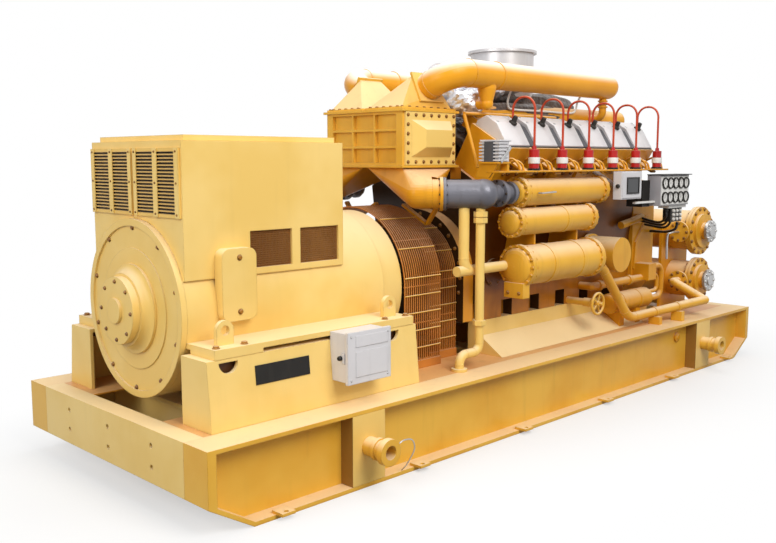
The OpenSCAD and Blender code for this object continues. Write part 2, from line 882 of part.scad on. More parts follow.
module crankcase() {
    rib_w = 180;
    shelf_lap = 16;
    shelf_h = 70;
    shelf_y = 205;
    shelf_w = 90;
    color(enamel) {
        along_x(engine_x, block_l) crankcase_profile();
        both_sides() {
            for (x = cyl_x) {
                rod_y(x, -case_half_w - door_t, door_z, door_t + over, door_r);
                box(max(engine_x, x - rib_w / 2), min(block_x1, x + rib_w / 2),
                    -case_half_w, -sump_half_w + over, bed_top, case_z + over);
            }
            box(core_x0 + cooler_core_l - shelf_lap, engine_x + over, -shelf_y - shelf_w, -shelf_y,
                core_z0 - shelf_h, core_z0);
        }
    }
}

module cylinder_heads() {
    color(enamel) both_sides() bank()
        for (x = cyl_x)
            box(x - head_l / 2, x + head_l / 2, -bank_half_w, bank_half_w, deck_s + gasket, cover_s);
}

module valve_covers() {
    cover_in = 14;
    side_h = 30;
    slope = 45;
    cover_half_w = bank_half_w - cover_in;
    color(silver) both_sides() bank()
        for (x = cyl_x)
            along_x(x - cover_l / 2, cover_l)
                polygon([[-cover_half_w, cover_s], [-cover_half_w, cover_s + side_h],
                         [-cover_half_w + slope, cover_top_s], [cover_half_w - slope, cover_top_s],
                         [cover_half_w, cover_s + side_h], [cover_half_w, cover_s]]);
}

module coil_rails() {
    rail_t = 10;
    rail_end = 130;
    arm_s = deck_s + 175;
    arm_l = 140;
    arm_w = 60;
    arm_t = 12;
    color(enamel) both_sides() {
        box(rail_x0, cyl_x[cylinders - 1] + rail_end, -coil_y - rail_w / 2, -coil_y + rail_w / 2,
            coil_z - rail_t, coil_z);
        for (x = cyl_x)
            bank()
                box(x - arm_w / 2, x + arm_w / 2, -bank_half_w - arm_l, -bank_half_w,
                    arm_s, arm_s + arm_t);
    }
}

// A finned box at the flywheel end of each rail
module ignition_module() {
    module_l = 230;
    module_w = 84;
    module_h = 190;
    fins = 6;
    fin_d = 22;
    fin_share = 0.45;
    pitch = module_h / fins;
    color(box_white) both_sides() difference() {
        translate([rail_x0, -coil_y - rail_w / 2 + seat, coil_z]) cube([module_l, module_w, module_h]);
        for (i = [0 : fins - 1])
            translate([rail_x0 - over, -coil_y - rail_w / 2 + seat - over,
                       coil_z + (i + (1 - fin_share) / 2) * pitch])
                cube([module_l + 2 * over, fin_d + over, fin_share * pitch]);
    }
}

module ignition_coils() {
    coil_r = 30;
    band_h = 34;
    band_t = 4;
    cap_h = 22;
    cap_r = 12;
    color(coil_red) both_sides()
        for (x = cyl_x)
            translate([x + plug_dx, -coil_y, coil_z]) {
                cylinder(h = coil_h, r = coil_r);
                translate([0, 0, (coil_h - band_h) / 2]) cylinder(h = band_h, r = coil_r + band_t);
                translate([0, 0, coil_h]) cylinder(h = cap_h, r = cap_r);
            }
}

plug_dx = 45; // offset of a coil and its spark plug from the cylinder
plug_y = cover_top_s * sin(bank_angle);
plug_z = shaft_z + cover_top_s * cos(bank_angle);

module ignition_leads() {
    lead_r = 7;
    lead_top = plug_z + 150;
    lead_bend = 75;
    boot_h = 22;
    boot_up = 8;
    color(lead_orange) both_sides() {
        for (x = cyl_x)
            pipe([[x + plug_dx, -coil_y, coil_z + coil_h + boot_h], [x + plug_dx, -coil_y, lead_top],
                  [x + plug_dx, -plug_y, lead_top], [x + plug_dx, -plug_y, plug_z + boot_up]],
                 lead_r, lead_bend);
    }
}

module intake_manifolds() {
    runner_l = 120;
    runner_drop = 75;
    end_gap = 6;
    end_out = 60;
    riser_x = charge_end_x - 45;
    riser_r = 25;
    riser_bend = 45;
    ridge_l = 10;
    ridge_h = 8;
    ridges = 3;
    manifold_x0 = branch_x + branch_r + end_gap;
    color(enamel) both_sides() {
        rod_x(manifold_x0, -manifold_y, manifold_z, block_x1 + end_out - manifold_x0, manifold_r);
        bank() for (x = cyl_x)
            box(x - runner_l / 2, x + runner_l / 2, bank_half_w, manifold_w,
                cover_s - runner_drop, manifold_s);
        difference() {
            union() {
                pipe([[riser_x, -charge_y, charge_z], [riser_x, -charge_y, manifold_z],
                      [riser_x, -manifold_y, manifold_z]], riser_r, riser_bend);
                for (i = [1 : ridges])
                    translate([riser_x, -charge_y, charge_z - charge_r - 2 * i * ridge_l])
                        cylinder(h = ridge_l, r = riser_r + ridge_h);
            }
            rod_x(riser_x - charge_r, -charge_y, charge_z, 2 * charge_r, charge_r + seat);
        }
    }
}

module exhaust_manifold() {
    stub_s = deck_s + 100;
    stub_l = 190;
    stub_r = 42;
    end_in = 60;
    color(soot) {
        rod_x(engine_x + end_in, 0, exhaust_z, block_l - 2 * end_in, exhaust_r);
        both_sides() bank() for (x = cyl_x)
            translate([x, bank_half_w, stub_s]) rotate([-90, 0, 0]) cylinder(h = stub_l, r = stub_r);
    }
}

// Each side has a compressor drum joined to a larger turbine drum that stands on the exhaust manifold
module turbochargers() {
    neck_r = 60;
    neck_x = drum_x0 + drum_l / 2;
    lean_in = atan2(turbo_y, drum_z - exhaust_z);
    reach = norm([turbo_y, drum_z - exhaust_z]);
    color(foil) both_sides() difference() {
        union() {
            rod_x(turbo_x0, -turbo_y, turbo_z, turbo_l, turbo_r);
            rod_x(drum_x0, -turbo_y, drum_z, drum_l, drum_r);
            translate([neck_x, 0, exhaust_z]) rotate([lean_in, 0, 0]) cylinder(h = reach, r = neck_r);
        }
        rod_x(engine_x, 0, exhaust_z, block_l, exhaust_r + seat);
    }
}

module exhaust_stack() {
    neck_r = exhaust_r - 25;
    lip_h = 18;
    floor_h = 60;
    elbow_r = 75;
    color(foil) difference() {
        union() {
            translate([stack_x, 0, stack_z0]) cylinder(h = stack_z1 - stack_z0, r = stack_r - stack_lip);
            translate([stack_x, 0, stack_z1 - lip_h]) cylinder(h = lip_h, r = stack_r);
            translate([stack_x, 0, exhaust_z]) cylinder(h = stack_z0 - exhaust_z + over, r = neck_r);
            both_sides()
                rod_x(drum_x0 + drum_l, -turbo_y, drum_z, stack_x - drum_x0 - drum_l, elbow_r);
        }
        rod_x(engine_x, 0, exhaust_z, block_l, exhaust_r + seat);
        translate([stack_x, 0, stack_z0 + floor_h])
            cylinder(h = stack_z1 - stack_z0, r = stack_r - stack_lip - stack_wall);
    }
}

// Charge air
module charge_pipes() {
    seam_x = charge_start_x + 400;
    seam_l = 12;
    seam_h = 5;
    end_step = 0.5;
    branch_z = turbo_z - 45;
    cup_r = 56;
    cup_l = 85;
    color(enamel) both_sides() {
        pipe([[charge_start_x, -hood_flange_y, hood_flange_z], [charge_start_x, -charge_y, charge_z],
              [charge_end_x, -charge_y, charge_z]], charge_r, charge_bend);
        rod_x(seam_x, -charge_y, charge_z, seam_l, charge_r + seam_h);
        translate([charge_end_x, -charge_y, charge_z]) sphere(charge_r - end_step);
        difference() {
            translate([branch_x, -charge_y, branch_z]) {
                cylinder(h = cup_l, r1 = branch_r, r2 = cup_r);
                translate([0, 0, cup_l]) cylinder(h = charge_z - branch_z - cup_l, r = cup_r);
                sphere(branch_r + seam_h);
                rotate([-90, 0, 0]) cylinder(h = charge_y - turbo_y, r = branch_r);
            }
            rod_x(turbo_x0, -turbo_y, turbo_z, turbo_l, turbo_r + seat);
        }
    }
}

module charge_cooler() {
    rib = 14;
    strip = 50;
    pocket_d = 26;
    rim = 16;
    rim_t = 14;
    face_w = 2 * (cooler_core_half_w - strip);
    pocket_w = (face_w - 2 * rib) / 3;
    pocket_h = (cooler_core_h - 2 * rim_t - 4 * rib) / 3;
    color(enamel) {
        difference() {
            box(core_x0, core_x0 + cooler_core_l, -cooler_core_half_w, cooler_core_half_w,
                core_z0, core_z1);
            for (i = [0 : 2], j = [0 : 2])
                translate([core_x0 - over, -face_w / 2 + i * (pocket_w + rib),
                           core_z0 + rim_t + rib + j * (pocket_h + rib)])
                    cube([pocket_d + over, pocket_w, pocket_h]);
        }
        for (z = [core_z0, core_z1 - rim_t])
            box(core_x0 - rim, core_x0 + cooler_core_l + rim, -cooler_core_half_w - rim,
                cooler_core_half_w + rim, z, z + rim_t);
    }
}

module charge_cooler_covers() {
    plate_t = 14;
    depth = 78;
    edge = 15;
    lip = 45;
    slope = 55;
    mid_x = core_x0 + cooler_core_l / 2;
    mid_z = core_z0 + cooler_core_h / 2;
    plate = [cooler_core_l - 2 * edge, plate_t, cooler_core_h - 2 * edge];
    foot = plate - 2 * [lip, 0, lip];
    front = foot - 2 * [slope, 0, slope];
    color(enamel) both_sides() translate([mid_x, -cooler_core_half_w, mid_z]) {
        translate([0, -plate_t / 2, 0]) cube(plate, center = true);
        hull() {
            translate([0, -plate_t / 2, 0]) cube(foot, center = true);
            translate([0, -depth, 0]) cube([front[0], skin, front[2]], center = true);
        }
    }
}

// The outlet of the operator's side hood: local Z points out along the charge pipe
module outlet_frame() {
    translate([charge_start_x, -hood_flange_y, hood_flange_z]) rotate([hood_tilt, 0, 0]) children();
}

module charge_hoods() {
    base_in = 20;
    gap = 12;
    neck_in = 30;
    foot_t = 12;
    color(enamel) both_sides() {
        box(core_x0, core_x0 + cooler_core_l, -cooler_core_half_w, -gap, core_z1, core_z1 + foot_t);
        hull() {
            box(core_x0 + base_in, core_x0 + cooler_core_l - base_in, -cooler_core_half_w + base_in,
                -gap - base_in, core_z1, core_z1 + foot_t + skin);
            outlet_frame() translate([0, 0, -hood_flange_t - skin])
                cube([hood_flange_l - neck_in, hood_flange_w - neck_in, 2 * skin], center = true);
        }
        outlet_frame() translate([0, 0, -hood_flange_t / 2 - seat])
            cube([hood_flange_l, hood_flange_w, hood_flange_t], center = true);
    }
}

// Two horns that lead the charge from the mixers to the cooler's underside
module charge_plenum() {
    base_in = 16;
    base_gap = 20;
    side_gap = 20;
    bend_back = 140; // distance of the horn's bend behind its mouth
    horn_fn = 32;
    start = mouth - duct_l * mixer_dir;
    color(enamel) both_sides() difference() {
        hull() {
            box(core_x0 + base_in, core_x0 + cooler_core_l - base_in, -cooler_core_half_w + base_in,
                -base_gap, core_z0 - skin, core_z0);
            translate(mouth - bend_back * mixer_dir) sphere(duct_r, $fn = horn_fn);
            strut(start - skin * mixer_dir, start, duct_r, $fn = horn_fn);
        }
        strut(start, mouth + bend_back * mixer_dir, duct_r + side_gap);
    }
}

module charge_duct() {
    ring_l = 18;
    ring_h = 14;
    color(enamel) both_sides() {
        strut(mouth - duct_l * mixer_dir, mouth, duct_r);
        strut(mouth - ring_l * mixer_dir, mouth, duct_r + ring_h);
    }
}

// The round body of the operator's side mixer and its corner, grown all round
module mixer_body(grow) {
    out = unit(mixer_dir - [1, 0, 0]);
    strut(mouth, mixer_end, mixer_r + grow);
    frame_of(out, cross([0, 0, 1], out), [0, 0, 1], mixer_end) sphere(mixer_corner_r + grow);
}

module gas_mixer() {
    ring_l = 18;
    ring_h = 12;
    disc_l = 26;
    disc_r = 78;
    disc_in = 120;
    color(mixer_grey) both_sides() {
        mixer_body(0);
        strut(mouth, mouth + ring_l * mixer_dir, duct_r + ring_h);
        rod_x(mixer_end[0], mixer_end[1], mixer_end[2], mixer_x1 - mixer_end[0], mixer_neck_r);
        rod_x(mixer_end[0] + disc_in, mixer_end[1], mixer_end[2], disc_l, disc_r);
        rod_x(mixer_x1 - 2 * disc_l, mixer_end[1], mixer_end[2], disc_l, disc_r - ring_h);
    }
}

// Side vessels
module vessel(x0, l, z, r, lip) {
    lip_t = 18;
    rod_x(x0, -vessel_y, z, l, r);
    for (x = [x0, x0 + lip_t + over, x0 + l - 2 * lip_t - over, x0 + l - lip_t])
        rod_x(x, -vessel_y, z, lip_t, r + lip);
    dished_end(x0, -vessel_y, z, r - lip, dish_depth, -1);
    dished_end(x0 + l, -vessel_y, z, r - lip, dish_depth, 1);
}

module upper_vessel() {
    color(enamel) vessel(vessel_x0, upper_vessel_l, upper_vessel_z, upper_vessel_r - upper_lip, upper_lip);
}

module filter_vessel() {
    band_l = 40;
    band_h = 4;
    band_share = 0.6;
    color(enamel) {
        vessel(filter_x0, filter_l, filter_z, filter_r - upper_lip, upper_lip);
        rod_x(filter_x0 + filter_l * band_share, -vessel_y, filter_z, band_l,
              filter_r - upper_lip + band_h);
    }
}

module oil_cooler() {
    strap_l = 36;
    strap_h = 4;
    stub_r = 45;
    color(enamel) {
        vessel(oil_cooler_x0, oil_cooler_l, oil_cooler_z, oil_cooler_r - oil_lip, oil_lip);
        for (share = [0.3, 0.7])
            rod_x(oil_cooler_x0 + share * oil_cooler_l, -vessel_y, oil_cooler_z, strap_l,
                  oil_cooler_r - oil_lip + strap_h);
        rod_x(oil_cooler_x0 + oil_cooler_l, -vessel_y, oil_cooler_z - oil_stub_drop, oil_stub_l, stub_r);
    }
}

module vessel_cradles() {
    cradle_t = 16;
    cut_l = cradle_t + 2 * over;
    cradle_x = [190, 640];
    foot_low = 120;
    top_up = 60;
    top_w = 120;
    neck_in = 60;
    neck_low = 80;
    color(enamel)
        for (dx = cradle_x)
            difference() {
                along_x(vessel_x0 + dx, cradle_t)
                    polygon([[-case_half_w, oil_cooler_z - foot_low], [-vessel_y, oil_cooler_z - foot_low],
                             [-vessel_y, upper_vessel_z + top_up],
                             [-vessel_y + top_w, upper_vessel_z + top_up],
                             [-case_half_w - neck_in, upper_vessel_z - neck_low],
                             [-case_half_w, shaft_z + case_shoulder]]);
                translate([vessel_x0 + dx - over, -vessel_y, 0]) {
                    rod_x(0, 0, upper_vessel_z, cut_l, upper_vessel_r - upper_lip + seat);
                    rod_x(0, 0, filter_z, cut_l, filter_r - upper_lip + seat);
                    rod_x(0, 0, oil_cooler_z, cut_l, oil_cooler_r - oil_lip + seat);
                }
                for (c = cyl_x)
                    rod_y(c, -case_half_w - door_t - seat, door_z, door_t + 2 * over, door_r + seat);
            }
}

// A spinning oil cleaner on the crankcase doors, with a flat cap
module oil_centrifuge() {
    drum_in = 544;
    drum_z = shaft_z + 67;
    back_r = 130;
    back_t = 24;
    cap_r = 117;
    out = 700;
    back_y = -case_half_w - door_t - seat;
    color(enamel) {
        rod_y(block_x1 - drum_in, back_y - back_t, drum_z, back_t, back_r);
        rod_y(block_x1 - drum_in, -out, drum_z, out + back_y, cap_r);
    }
}

module gear_case() {
    low_half_w = 380;
    low_h = 120;
    side_h = 460;
    top_half_w = 300;
    top_h = 600;
    color(enamel) along_x(block_x1, gear_case_l)
        polygon([[-low_half_w, bed_top], [-gear_half_w, bed_top + low_h], [-gear_half_w, shaft_z + side_h],
                 [-top_half_w, shaft_z + top_h], [top_half_w, shaft_z + top_h],
                 [gear_half_w, shaft_z + side_h], [gear_half_w, bed_top + low_h], [low_half_w, bed_top]]);
}

// Free end
module water_cooler(z, r) {
    rim = 32;
    rim_t = 22;
    gap = 2;
    step_in = 22;
    step_l = 24;
    boss_r = 66;
    nozzle_r = 45;
    nozzle_rim = 80;
    nozzle_y = -water_cooler_half_l + nozzle_in;
    rod_y(water_cooler_x, -water_cooler_half_l, z, 2 * water_cooler_half_l, r);
    both_sides() {
        rod_y(water_cooler_x, -water_cooler_half_l, z, rim_t, r + rim);
        rod_y(water_cooler_x, -water_cooler_half_l + rim_t + gap, z, rim_t, r + rim);
        rod_y(water_cooler_x, -water_cooler_half_l - step_l, z, step_l + over, r - step_in);
        rod_y(water_cooler_x, -water_cooler_half_l - cooler_head_l, z, cooler_head_l + over, boss_r);
        rod_x(water_cooler_x - r - nozzle_l, nozzle_y, z, nozzle_l + r, nozzle_r);
        rod_x(water_cooler_x - r - nozzle_l - nozzle_t, nozzle_y, z, nozzle_t, nozzle_rim);
    }
}

module water_coolers() {
    color(enamel) {
        water_cooler(upper_cooler_z, upper_cooler_r);
        water_cooler(lower_cooler_z, lower_cooler_r);
    }
}

// Bare metal blanks on the coolers' end bosses
module cooler_blanks() {
    blank_t = 22;
    blank_r = 84;
    hub_t = 10;
    hub_r = 40;
    face_y = -water_cooler_half_l - cooler_head_l - blank_t;
    color(silver) both_sides()
        for (z = [upper_cooler_z, lower_cooler_z]) {
            rod_y(water_cooler_x, face_y, z, blank_t, blank_r);
            rod_y(water_cooler_x, face_y - hub_t, z, hub_t + over, hub_r);
        }
}

module cooler_stand() {
    stand_t = 24;
    stand_half_l = 210;
    stand_in = 220;
    top_up = 40;
    stand_y = water_cooler_half_l - stand_in;
    color(enamel) both_sides() difference() {
        box(water_cooler_x - stand_half_l, water_cooler_x + stand_half_l, -stand_y, -stand_y + stand_t,
            skid_h, upper_cooler_z + top_up);
        rod_y(water_cooler_x, -stand_y - over, upper_cooler_z, stand_t + 2 * over, upper_cooler_r + seat);
        rod_y(water_cooler_x, -stand_y - over, lower_cooler_z, stand_t + 2 * over, lower_cooler_r + seat);
    }
}

module cooler_pipe() {
    run_r = 32;
    run_bend = 180;
    lead_in = 100;
    drop_l = 380;
    low_l = 150;
    low_z = skid_h + 78;
    far_z = skid_h + 123;
    far_y = -half_w + 58;
    elbow_l = 58;
    clamp_share = [0.22, 0.56];
    clamp_l = 44;
    clamp_out = 52;
    strap_l = 16;
    strap_h = 5;
    start = [oil_cooler_x0 + oil_cooler_l + oil_stub_l, -vessel_y, oil_cooler_z - oil_stub_drop];
    top = start + [lead_in, 0, 0];
    low = [top[0] + drop_l, -vessel_y, low_z];
    knee = low + [low_l, 0, 0];
    nozzle = [water_cooler_x - lower_cooler_r - nozzle_l - nozzle_t, -water_cooler_half_l + nozzle_in,
              lower_cooler_z];
    elbow = nozzle - [elbow_l, 0, 0];
    far = [elbow[0], far_y, far_z];
    color(enamel) {
        pipe([start, top, low, knee - [run_r, 0, 0]], run_r, run_bend);
        jointed([knee - [run_r, 0, 0], knee, far, elbow, nozzle], run_r);
        for (share = clamp_share) {
            at = knee + share * (far - knee);
            along = unit(far - knee);
            strut(at - strap_l / 2 * along, at + strap_l / 2 * along, run_r + strap_h);
            box(at[0] - clamp_l / 2, at[0] + clamp_l / 2, at[1] - clamp_out, at[1] + run_r,
                skid_h, at[2] - run_r + over);
        }
    }
}

module controller_box() {
    box_in = 500;
    box_l = 250;
    box_front = 800;
    box_low = shaft_z + 447;
    box_h = 180;
    arm_in = 80;
    arm_w = 60;
    arm_l = 262;
    arm_s = deck_s + 100;
    arm_t = 12;
    x0 = block_x1 - box_in - box_l;
    color(box_white) {
        box(x0, x0 + box_l, -box_front, -vessel_y - upper_vessel_r - seat, box_low, box_low + box_h);
        bank()
            box(x0 + arm_in, x0 + arm_in + arm_w, -bank_half_w - arm_l, -bank_half_w,
                arm_s, arm_s + arm_t);
    }
}

module gauge_panel() {
    panel_l = 400;
    panel_d = 100;
    panel_front = 800;
    panel_low = shaft_z + 387;
    panel_h = 210;
    panel_in = 240;
    arm_in = 20;
    arm_w = 50;
    arm_up = 13;
    x0 = block_x1 - panel_in;
    color(box_white) {
        box(x0, x0 + panel_l, -panel_front, -panel_front + panel_d, panel_low, panel_low + panel_h);
        box(block_x1 + arm_in, block_x1 + arm_in + arm_w, -panel_front + panel_d, -gear_half_w,
            panel_low + arm_up, panel_low + arm_up + arm_w);
    }
}

// The gas inlet pipe from the deck, and the pipe from the oil cooler's head, both to the near mixer
module gas_riser() {
    gas_r = 26;
    gas_back_in = 14;
    gas_at = mixer_end - gas_back_in * mixer_dir;
    gas_x = gas_at[0];
    gas_y = gas_at[1];
    gas_low = skid_h + 88;
    gas_back = 170;
    gas_bend = 50;
    foot_r = 45;
    foot_t = 16;
    nut_r = 40;
    nut_h = 30;
    nut_z = [skid_h + 238, shaft_z + 350, shaft_z + 384];
    water_r = 30;
    water_back_in = 106;
    water_at = mixer_end - water_back_in * mixer_dir;
    water_x = water_at[0];
    water_y = water_at[1];
    water_bend = 70;
    cap_l = 60;
    head_r = oil_cooler_r - 2 * oil_lip;
    color(enamel) difference() {
        union() {
            pipe([gas_at, [gas_x, gas_y, gas_low], [gas_x - gas_back, gas_y, gas_low],
                  [gas_x - gas_back, gas_y, skid_h]], gas_r, gas_bend);
            translate([gas_x - gas_back, gas_y, skid_h]) cylinder(h = foot_t, r = foot_r);
            for (z = nut_z) translate([gas_x, gas_y, z]) cylinder(h = nut_h, r = nut_r, $fn = 6);
            pipe([water_at, [water_x, water_y, oil_cooler_z],
                  [oil_cooler_x0, water_y, oil_cooler_z]], water_r, water_bend);
            rod_x(water_x - cap_l, water_y, oil_cooler_z, cap_l + water_bend, water_r);
        }
        mixer_body(seat);
        dished_end(oil_cooler_x0 - seat, -vessel_y, oil_cooler_z, head_r + seat, dish_depth, -1);
    }
}

module priming_pump() {
    band_l = 22;
    band_h = 4;
    leg_w = 60;
    leg_out = 45;
    leg_top = skid_h + 130;
    leg_share = [0.22, 0.68];
    leg_z = skid_h + skirt_h * (skirt_out - pump_y - leg_out) / (skirt_out - bed_half_w) + seat;
    color(enamel) {
        rod_x(pump_x, -pump_y, pump_z, pump_l, pump_r);
        dished_end(pump_x, -pump_y, pump_z, pump_end_r, pump_end_depth, -1);
        dished_end(pump_x + pump_l, -pump_y, pump_z, pump_end_r, pump_end_depth, 1);
        for (share = leg_share) {
            rod_x(pump_x + share * pump_l, -pump_y, pump_z, band_l, pump_r + band_h);
            along_x(pump_x + share * pump_l - leg_w / 2, leg_w)
                polygon([[-pump_y - leg_out, leg_z], [-pump_y - leg_out, leg_top], [-bed_half_w, pump_z],
                         [-bed_half_w, skid_h + skirt_h + seat]]);
        }
    }
}

// The oil line along the crankcase's foot, the valve block at its end with a bent strap over it, and the
// two pipes from the block to the pump
module lube_line() {
    line_r = 27;
    line_y = 520;
    line_z = skid_h + 313;
    line_in = 625;
    union_l = 30;
    union_r = 36;
    union_share = [0.12, 0.75];
    block = [110, 130, 120];
    block_x = block_x1 + 20;
    block_z = line_z - line_r / 2;
    strap = [40, 14];
    strap_x = [10, 30, 186];   // from the block's end, at the strap's foot, bend and top
    strap_z = [378, 573, 763]; // over the skid
    pipe_r = [22, 15];
    pipe_bend = [62, 38];
    pipe_out = [125, 66];
    pipe_up = [94, 30];
    pipe_drop = [-14, 38];     // where each pipe meets the pump's end, over its axis
    pipe_y = pump_y + 20;
    end_x = block_x + block[0] - over;
    color(enamel) difference() {
        union() {
            jointed([[block_x1 - line_in, -case_half_w, line_z], [block_x1 - line_in, -line_y, line_z],
                     [block_x + block[0] / 2, -line_y, line_z]], line_r);
            for (share = union_share)
                rod_x(block_x1 - line_in + share * line_in, -line_y, line_z, union_l, union_r);
            translate([block_x, -gear_half_w - block[1], block_z]) cube(block);
            along_y(-gear_half_w - strap[1], strap[1])
                polygon([for (i = [0, 1, 2]) [block_x1 + strap_x[i], skid_h + strap_z[i]],
                         for (i = [2, 1, 0]) [block_x1 + strap_x[i] + strap[0], skid_h + strap_z[i]]]);
            for (i = [0, 1])
                pipe([[end_x, -pipe_y, block_z + pipe_up[i]],
                      [end_x + pipe_out[i], -pipe_y, block_z + pipe_up[i]],
                      [end_x + pipe_out[i], -pipe_y, pump_z + pipe_drop[i]],
                      [pump_x + pump_l, -pipe_y, pump_z + pipe_drop[i]]], pipe_r[i], pipe_bend[i]);
        }
        rod_x(pump_x, -pump_y, pump_z, pump_l + seat, pump_r + seat);
        dished_end(pump_x + pump_l + seat, -pump_y, pump_z, pump_end_r + seat, pump_end_depth, 1);
    }
}

module drain_valve() {
    body_l = 60;
    body_r = 30;
    neck_r = 24;
    stem_l = 140;
    color(enamel) {
        translate([valve_x, -valve_y, valve_z]) rotate([90, 0, 0]) cylinder(h = body_l, r = body_r);
        rod_y(valve_x, -valve_y, valve_z, valve_y - case_half_w, neck_r);
        rod_y(valve_x, -valve_y - stem_l, valve_z, stem_l, stem_r);
    }
}

module handwheel() {
    rim_r = 9;
    hub_r = 20;
    hub_l = 26;
    spokes = 5;
    spoke_w = 10;
    spoke_t = 8;
    spoke_in = 4;
    wheel_out = 105;
    wheel_y = valve_y + wheel_out;
    color(enamel) translate([valve_x, -wheel_y, valve_z]) rotate([90, 0, 0]) difference() {
        union() {
            rotate_extrude() translate([handwheel_r - rim_r, 0]) circle(rim_r);
            cylinder(h = hub_l, r = hub_r, center = true);
            for (i = [0 : spokes - 1])
                rotate([0, 0, i * 360 / spokes]) translate([hub_r - spoke_in, -spoke_w / 2, -spoke_t / 2])
                    cube([handwheel_r - rim_r - hub_r + spoke_in, spoke_w, spoke_t]);
        }
        cylinder(h = hub_l + 2 * over, r = stem_r + stem_gap, center = true);
    }
}

side_beams();
cross_members();
deck_plates();
hold_down_lugs();
water_port_boxes();
water_port_stubs();
engine_bed();
generator_pedestal();
generator_frame();
generator_end_plate();
bearing_cover();
air_hood();
air_hood_lid();
louvre_panels();
hood_screens();
terminal_covers();
control_box();
bare_plate();
tall_guard();
low_guard();
coupling();
flywheel_housing();
crankcase();
cylinder_heads();
valve_covers();
coil_rails();
ignition_coils();
ignition_leads();
intake_manifolds();
exhaust_manifold();
turbochargers();
exhaust_stack();
charge_pipes();
charge_cooler();
charge_cooler_covers();
charge_hoods();
charge_plenum();
charge_duct();
gas_mixer();
upper_vessel();
filter_vessel();
oil_cooler();
vessel_cradles();
gear_case();
water_coolers();
cooler_stand();
cooler_pipe();
controller_box();
gauge_panel();
gas_riser();
priming_pump();
lube_line();
oil_centrifuge();
ignition_module();
cooler_blanks();
drain_valve();
handwheel();
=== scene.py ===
import json
import math
import bpy
import numpy as np
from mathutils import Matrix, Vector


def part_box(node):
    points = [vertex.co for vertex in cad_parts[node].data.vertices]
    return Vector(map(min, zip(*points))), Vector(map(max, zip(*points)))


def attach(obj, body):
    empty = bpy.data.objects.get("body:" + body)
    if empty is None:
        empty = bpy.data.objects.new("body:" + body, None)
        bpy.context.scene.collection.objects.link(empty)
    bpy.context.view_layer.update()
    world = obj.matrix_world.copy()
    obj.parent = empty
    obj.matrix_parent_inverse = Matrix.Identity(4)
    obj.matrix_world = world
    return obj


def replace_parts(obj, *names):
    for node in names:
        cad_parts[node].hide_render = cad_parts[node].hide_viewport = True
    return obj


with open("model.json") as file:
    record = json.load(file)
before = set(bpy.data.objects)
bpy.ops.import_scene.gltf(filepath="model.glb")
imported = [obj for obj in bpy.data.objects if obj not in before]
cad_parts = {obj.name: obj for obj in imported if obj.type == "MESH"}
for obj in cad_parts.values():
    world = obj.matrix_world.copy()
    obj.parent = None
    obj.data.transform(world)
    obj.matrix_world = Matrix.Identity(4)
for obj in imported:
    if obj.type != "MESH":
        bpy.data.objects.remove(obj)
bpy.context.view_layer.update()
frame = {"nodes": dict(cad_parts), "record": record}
nodes = frame["nodes"]
slotOf = {part["node"]: part["material_slot"] for part in frame["record"]["subparts"]}
print("frame loaded:", len(nodes), "nodes")

# Camera, light and floor; metres, degrees and mm
view = {"place": (-4.4989, -3.8305, 1.5560), "pitchDown": 7.1402, "yaw": 44.7906, "lens": 41.44, "sensor": 36,
        "reach": 200}
lights = {
    "ambient": 0.44,
    "sky": (0.95, 0.97, 1.0),
    "target": (0, 0, 0.9),
    "key": {"place": (-1.6, -5.5, 5.2), "size": 4.0, "power": 336, "colour": (1.0, 0.98, 0.95)},
    "left": {"place": (-6.5, -0.8, 3.4), "size": 3.5, "power": 130, "colour": (1.0, 0.99, 0.97)},
    "top": {"place": (0.5, 0.5, 6.5), "size": 5.0, "power": 146, "colour": (1.0, 1.0, 1.0)},
}
floorLook = {"half": 60.0, "shade": 0.82, "bounce": 0.30, "shadow": 0.55, "stretch": (0.27, 0.55, 1),
             "fade": (0.55, 1.15)}


def linear(r, g, b):
    # sRGB of 0 to 255 as linear colour
    c = np.array([r, g, b]) / 255
    c = np.where(c <= 0.04045, c / 12.92, ((c + 0.055) / 1.055) ** 2.4)
    return tuple(float(v) for v in c) + (1.0,)


def addObject(name, data):
    obj = bpy.data.objects.new(name, data)
    bpy.context.scene.collection.objects.link(obj)
    return obj


def clearTree(owner):
    # the owner's node tree, emptied
    owner.use_nodes = True
    owner.node_tree.nodes.clear()
    return owner.node_tree


def feed(tree, value, socket):
    # a plain value is set, an output is linked
    if isinstance(value, (int, float, tuple)):
        socket.default_value = value
    else:
        tree.links.new(value, socket)


def node(tree, kind, given=None, **settings):
    # a node with its settings made, then its sockets fed by label or number
    made = tree.nodes.new("ShaderNode" + kind)
    for key, value in settings.items():
        setattr(made, key, value)
    for socket, value in (given or {}).items():
        feed(tree, value, made.inputs[socket])
    return made


def mathNode(tree, operation, a, b=0.5, clamp=True):
    clamp = clamp and operation in ("MULTIPLY", "ADD", "SUBTRACT")
    return node(tree, "Math", {0: a, 1: b}, operation=operation, use_clamp=clamp).outputs[0]


def times(tree, a, b, clamp=True):
    return mathNode(tree, "MULTIPLY", a, b, clamp)


def rampNode(tree, value, low, high, start=0.0):
    # low to high becomes start to 1, eased at both ends
    given = {"Value": value, "From Min": low, "From Max": high, "To Min": start}
    return node(tree, "MapRange", given, interpolation_type="SMOOTHSTEP").outputs[0]


def mixColour(tree, factor, a, b):
    return node(tree, "Mix", {0: factor, 6: a, 7: b}, data_type="RGBA").outputs[2]


def noiseAt(tree, coord, scale, detail=3.0, rough=0.55):
    given = {"Vector": coord, "Scale": scale, "Detail": detail, "Roughness": rough}
    return node(tree, "TexNoise", given).outputs["Fac"]


def stretched(tree, coord, scale):
    return node(tree, "Mapping", {"Vector": coord, "Scale": scale}).outputs[0]


def objectPoint(tree):
    return node(tree, "TexCoord").outputs["Object"]


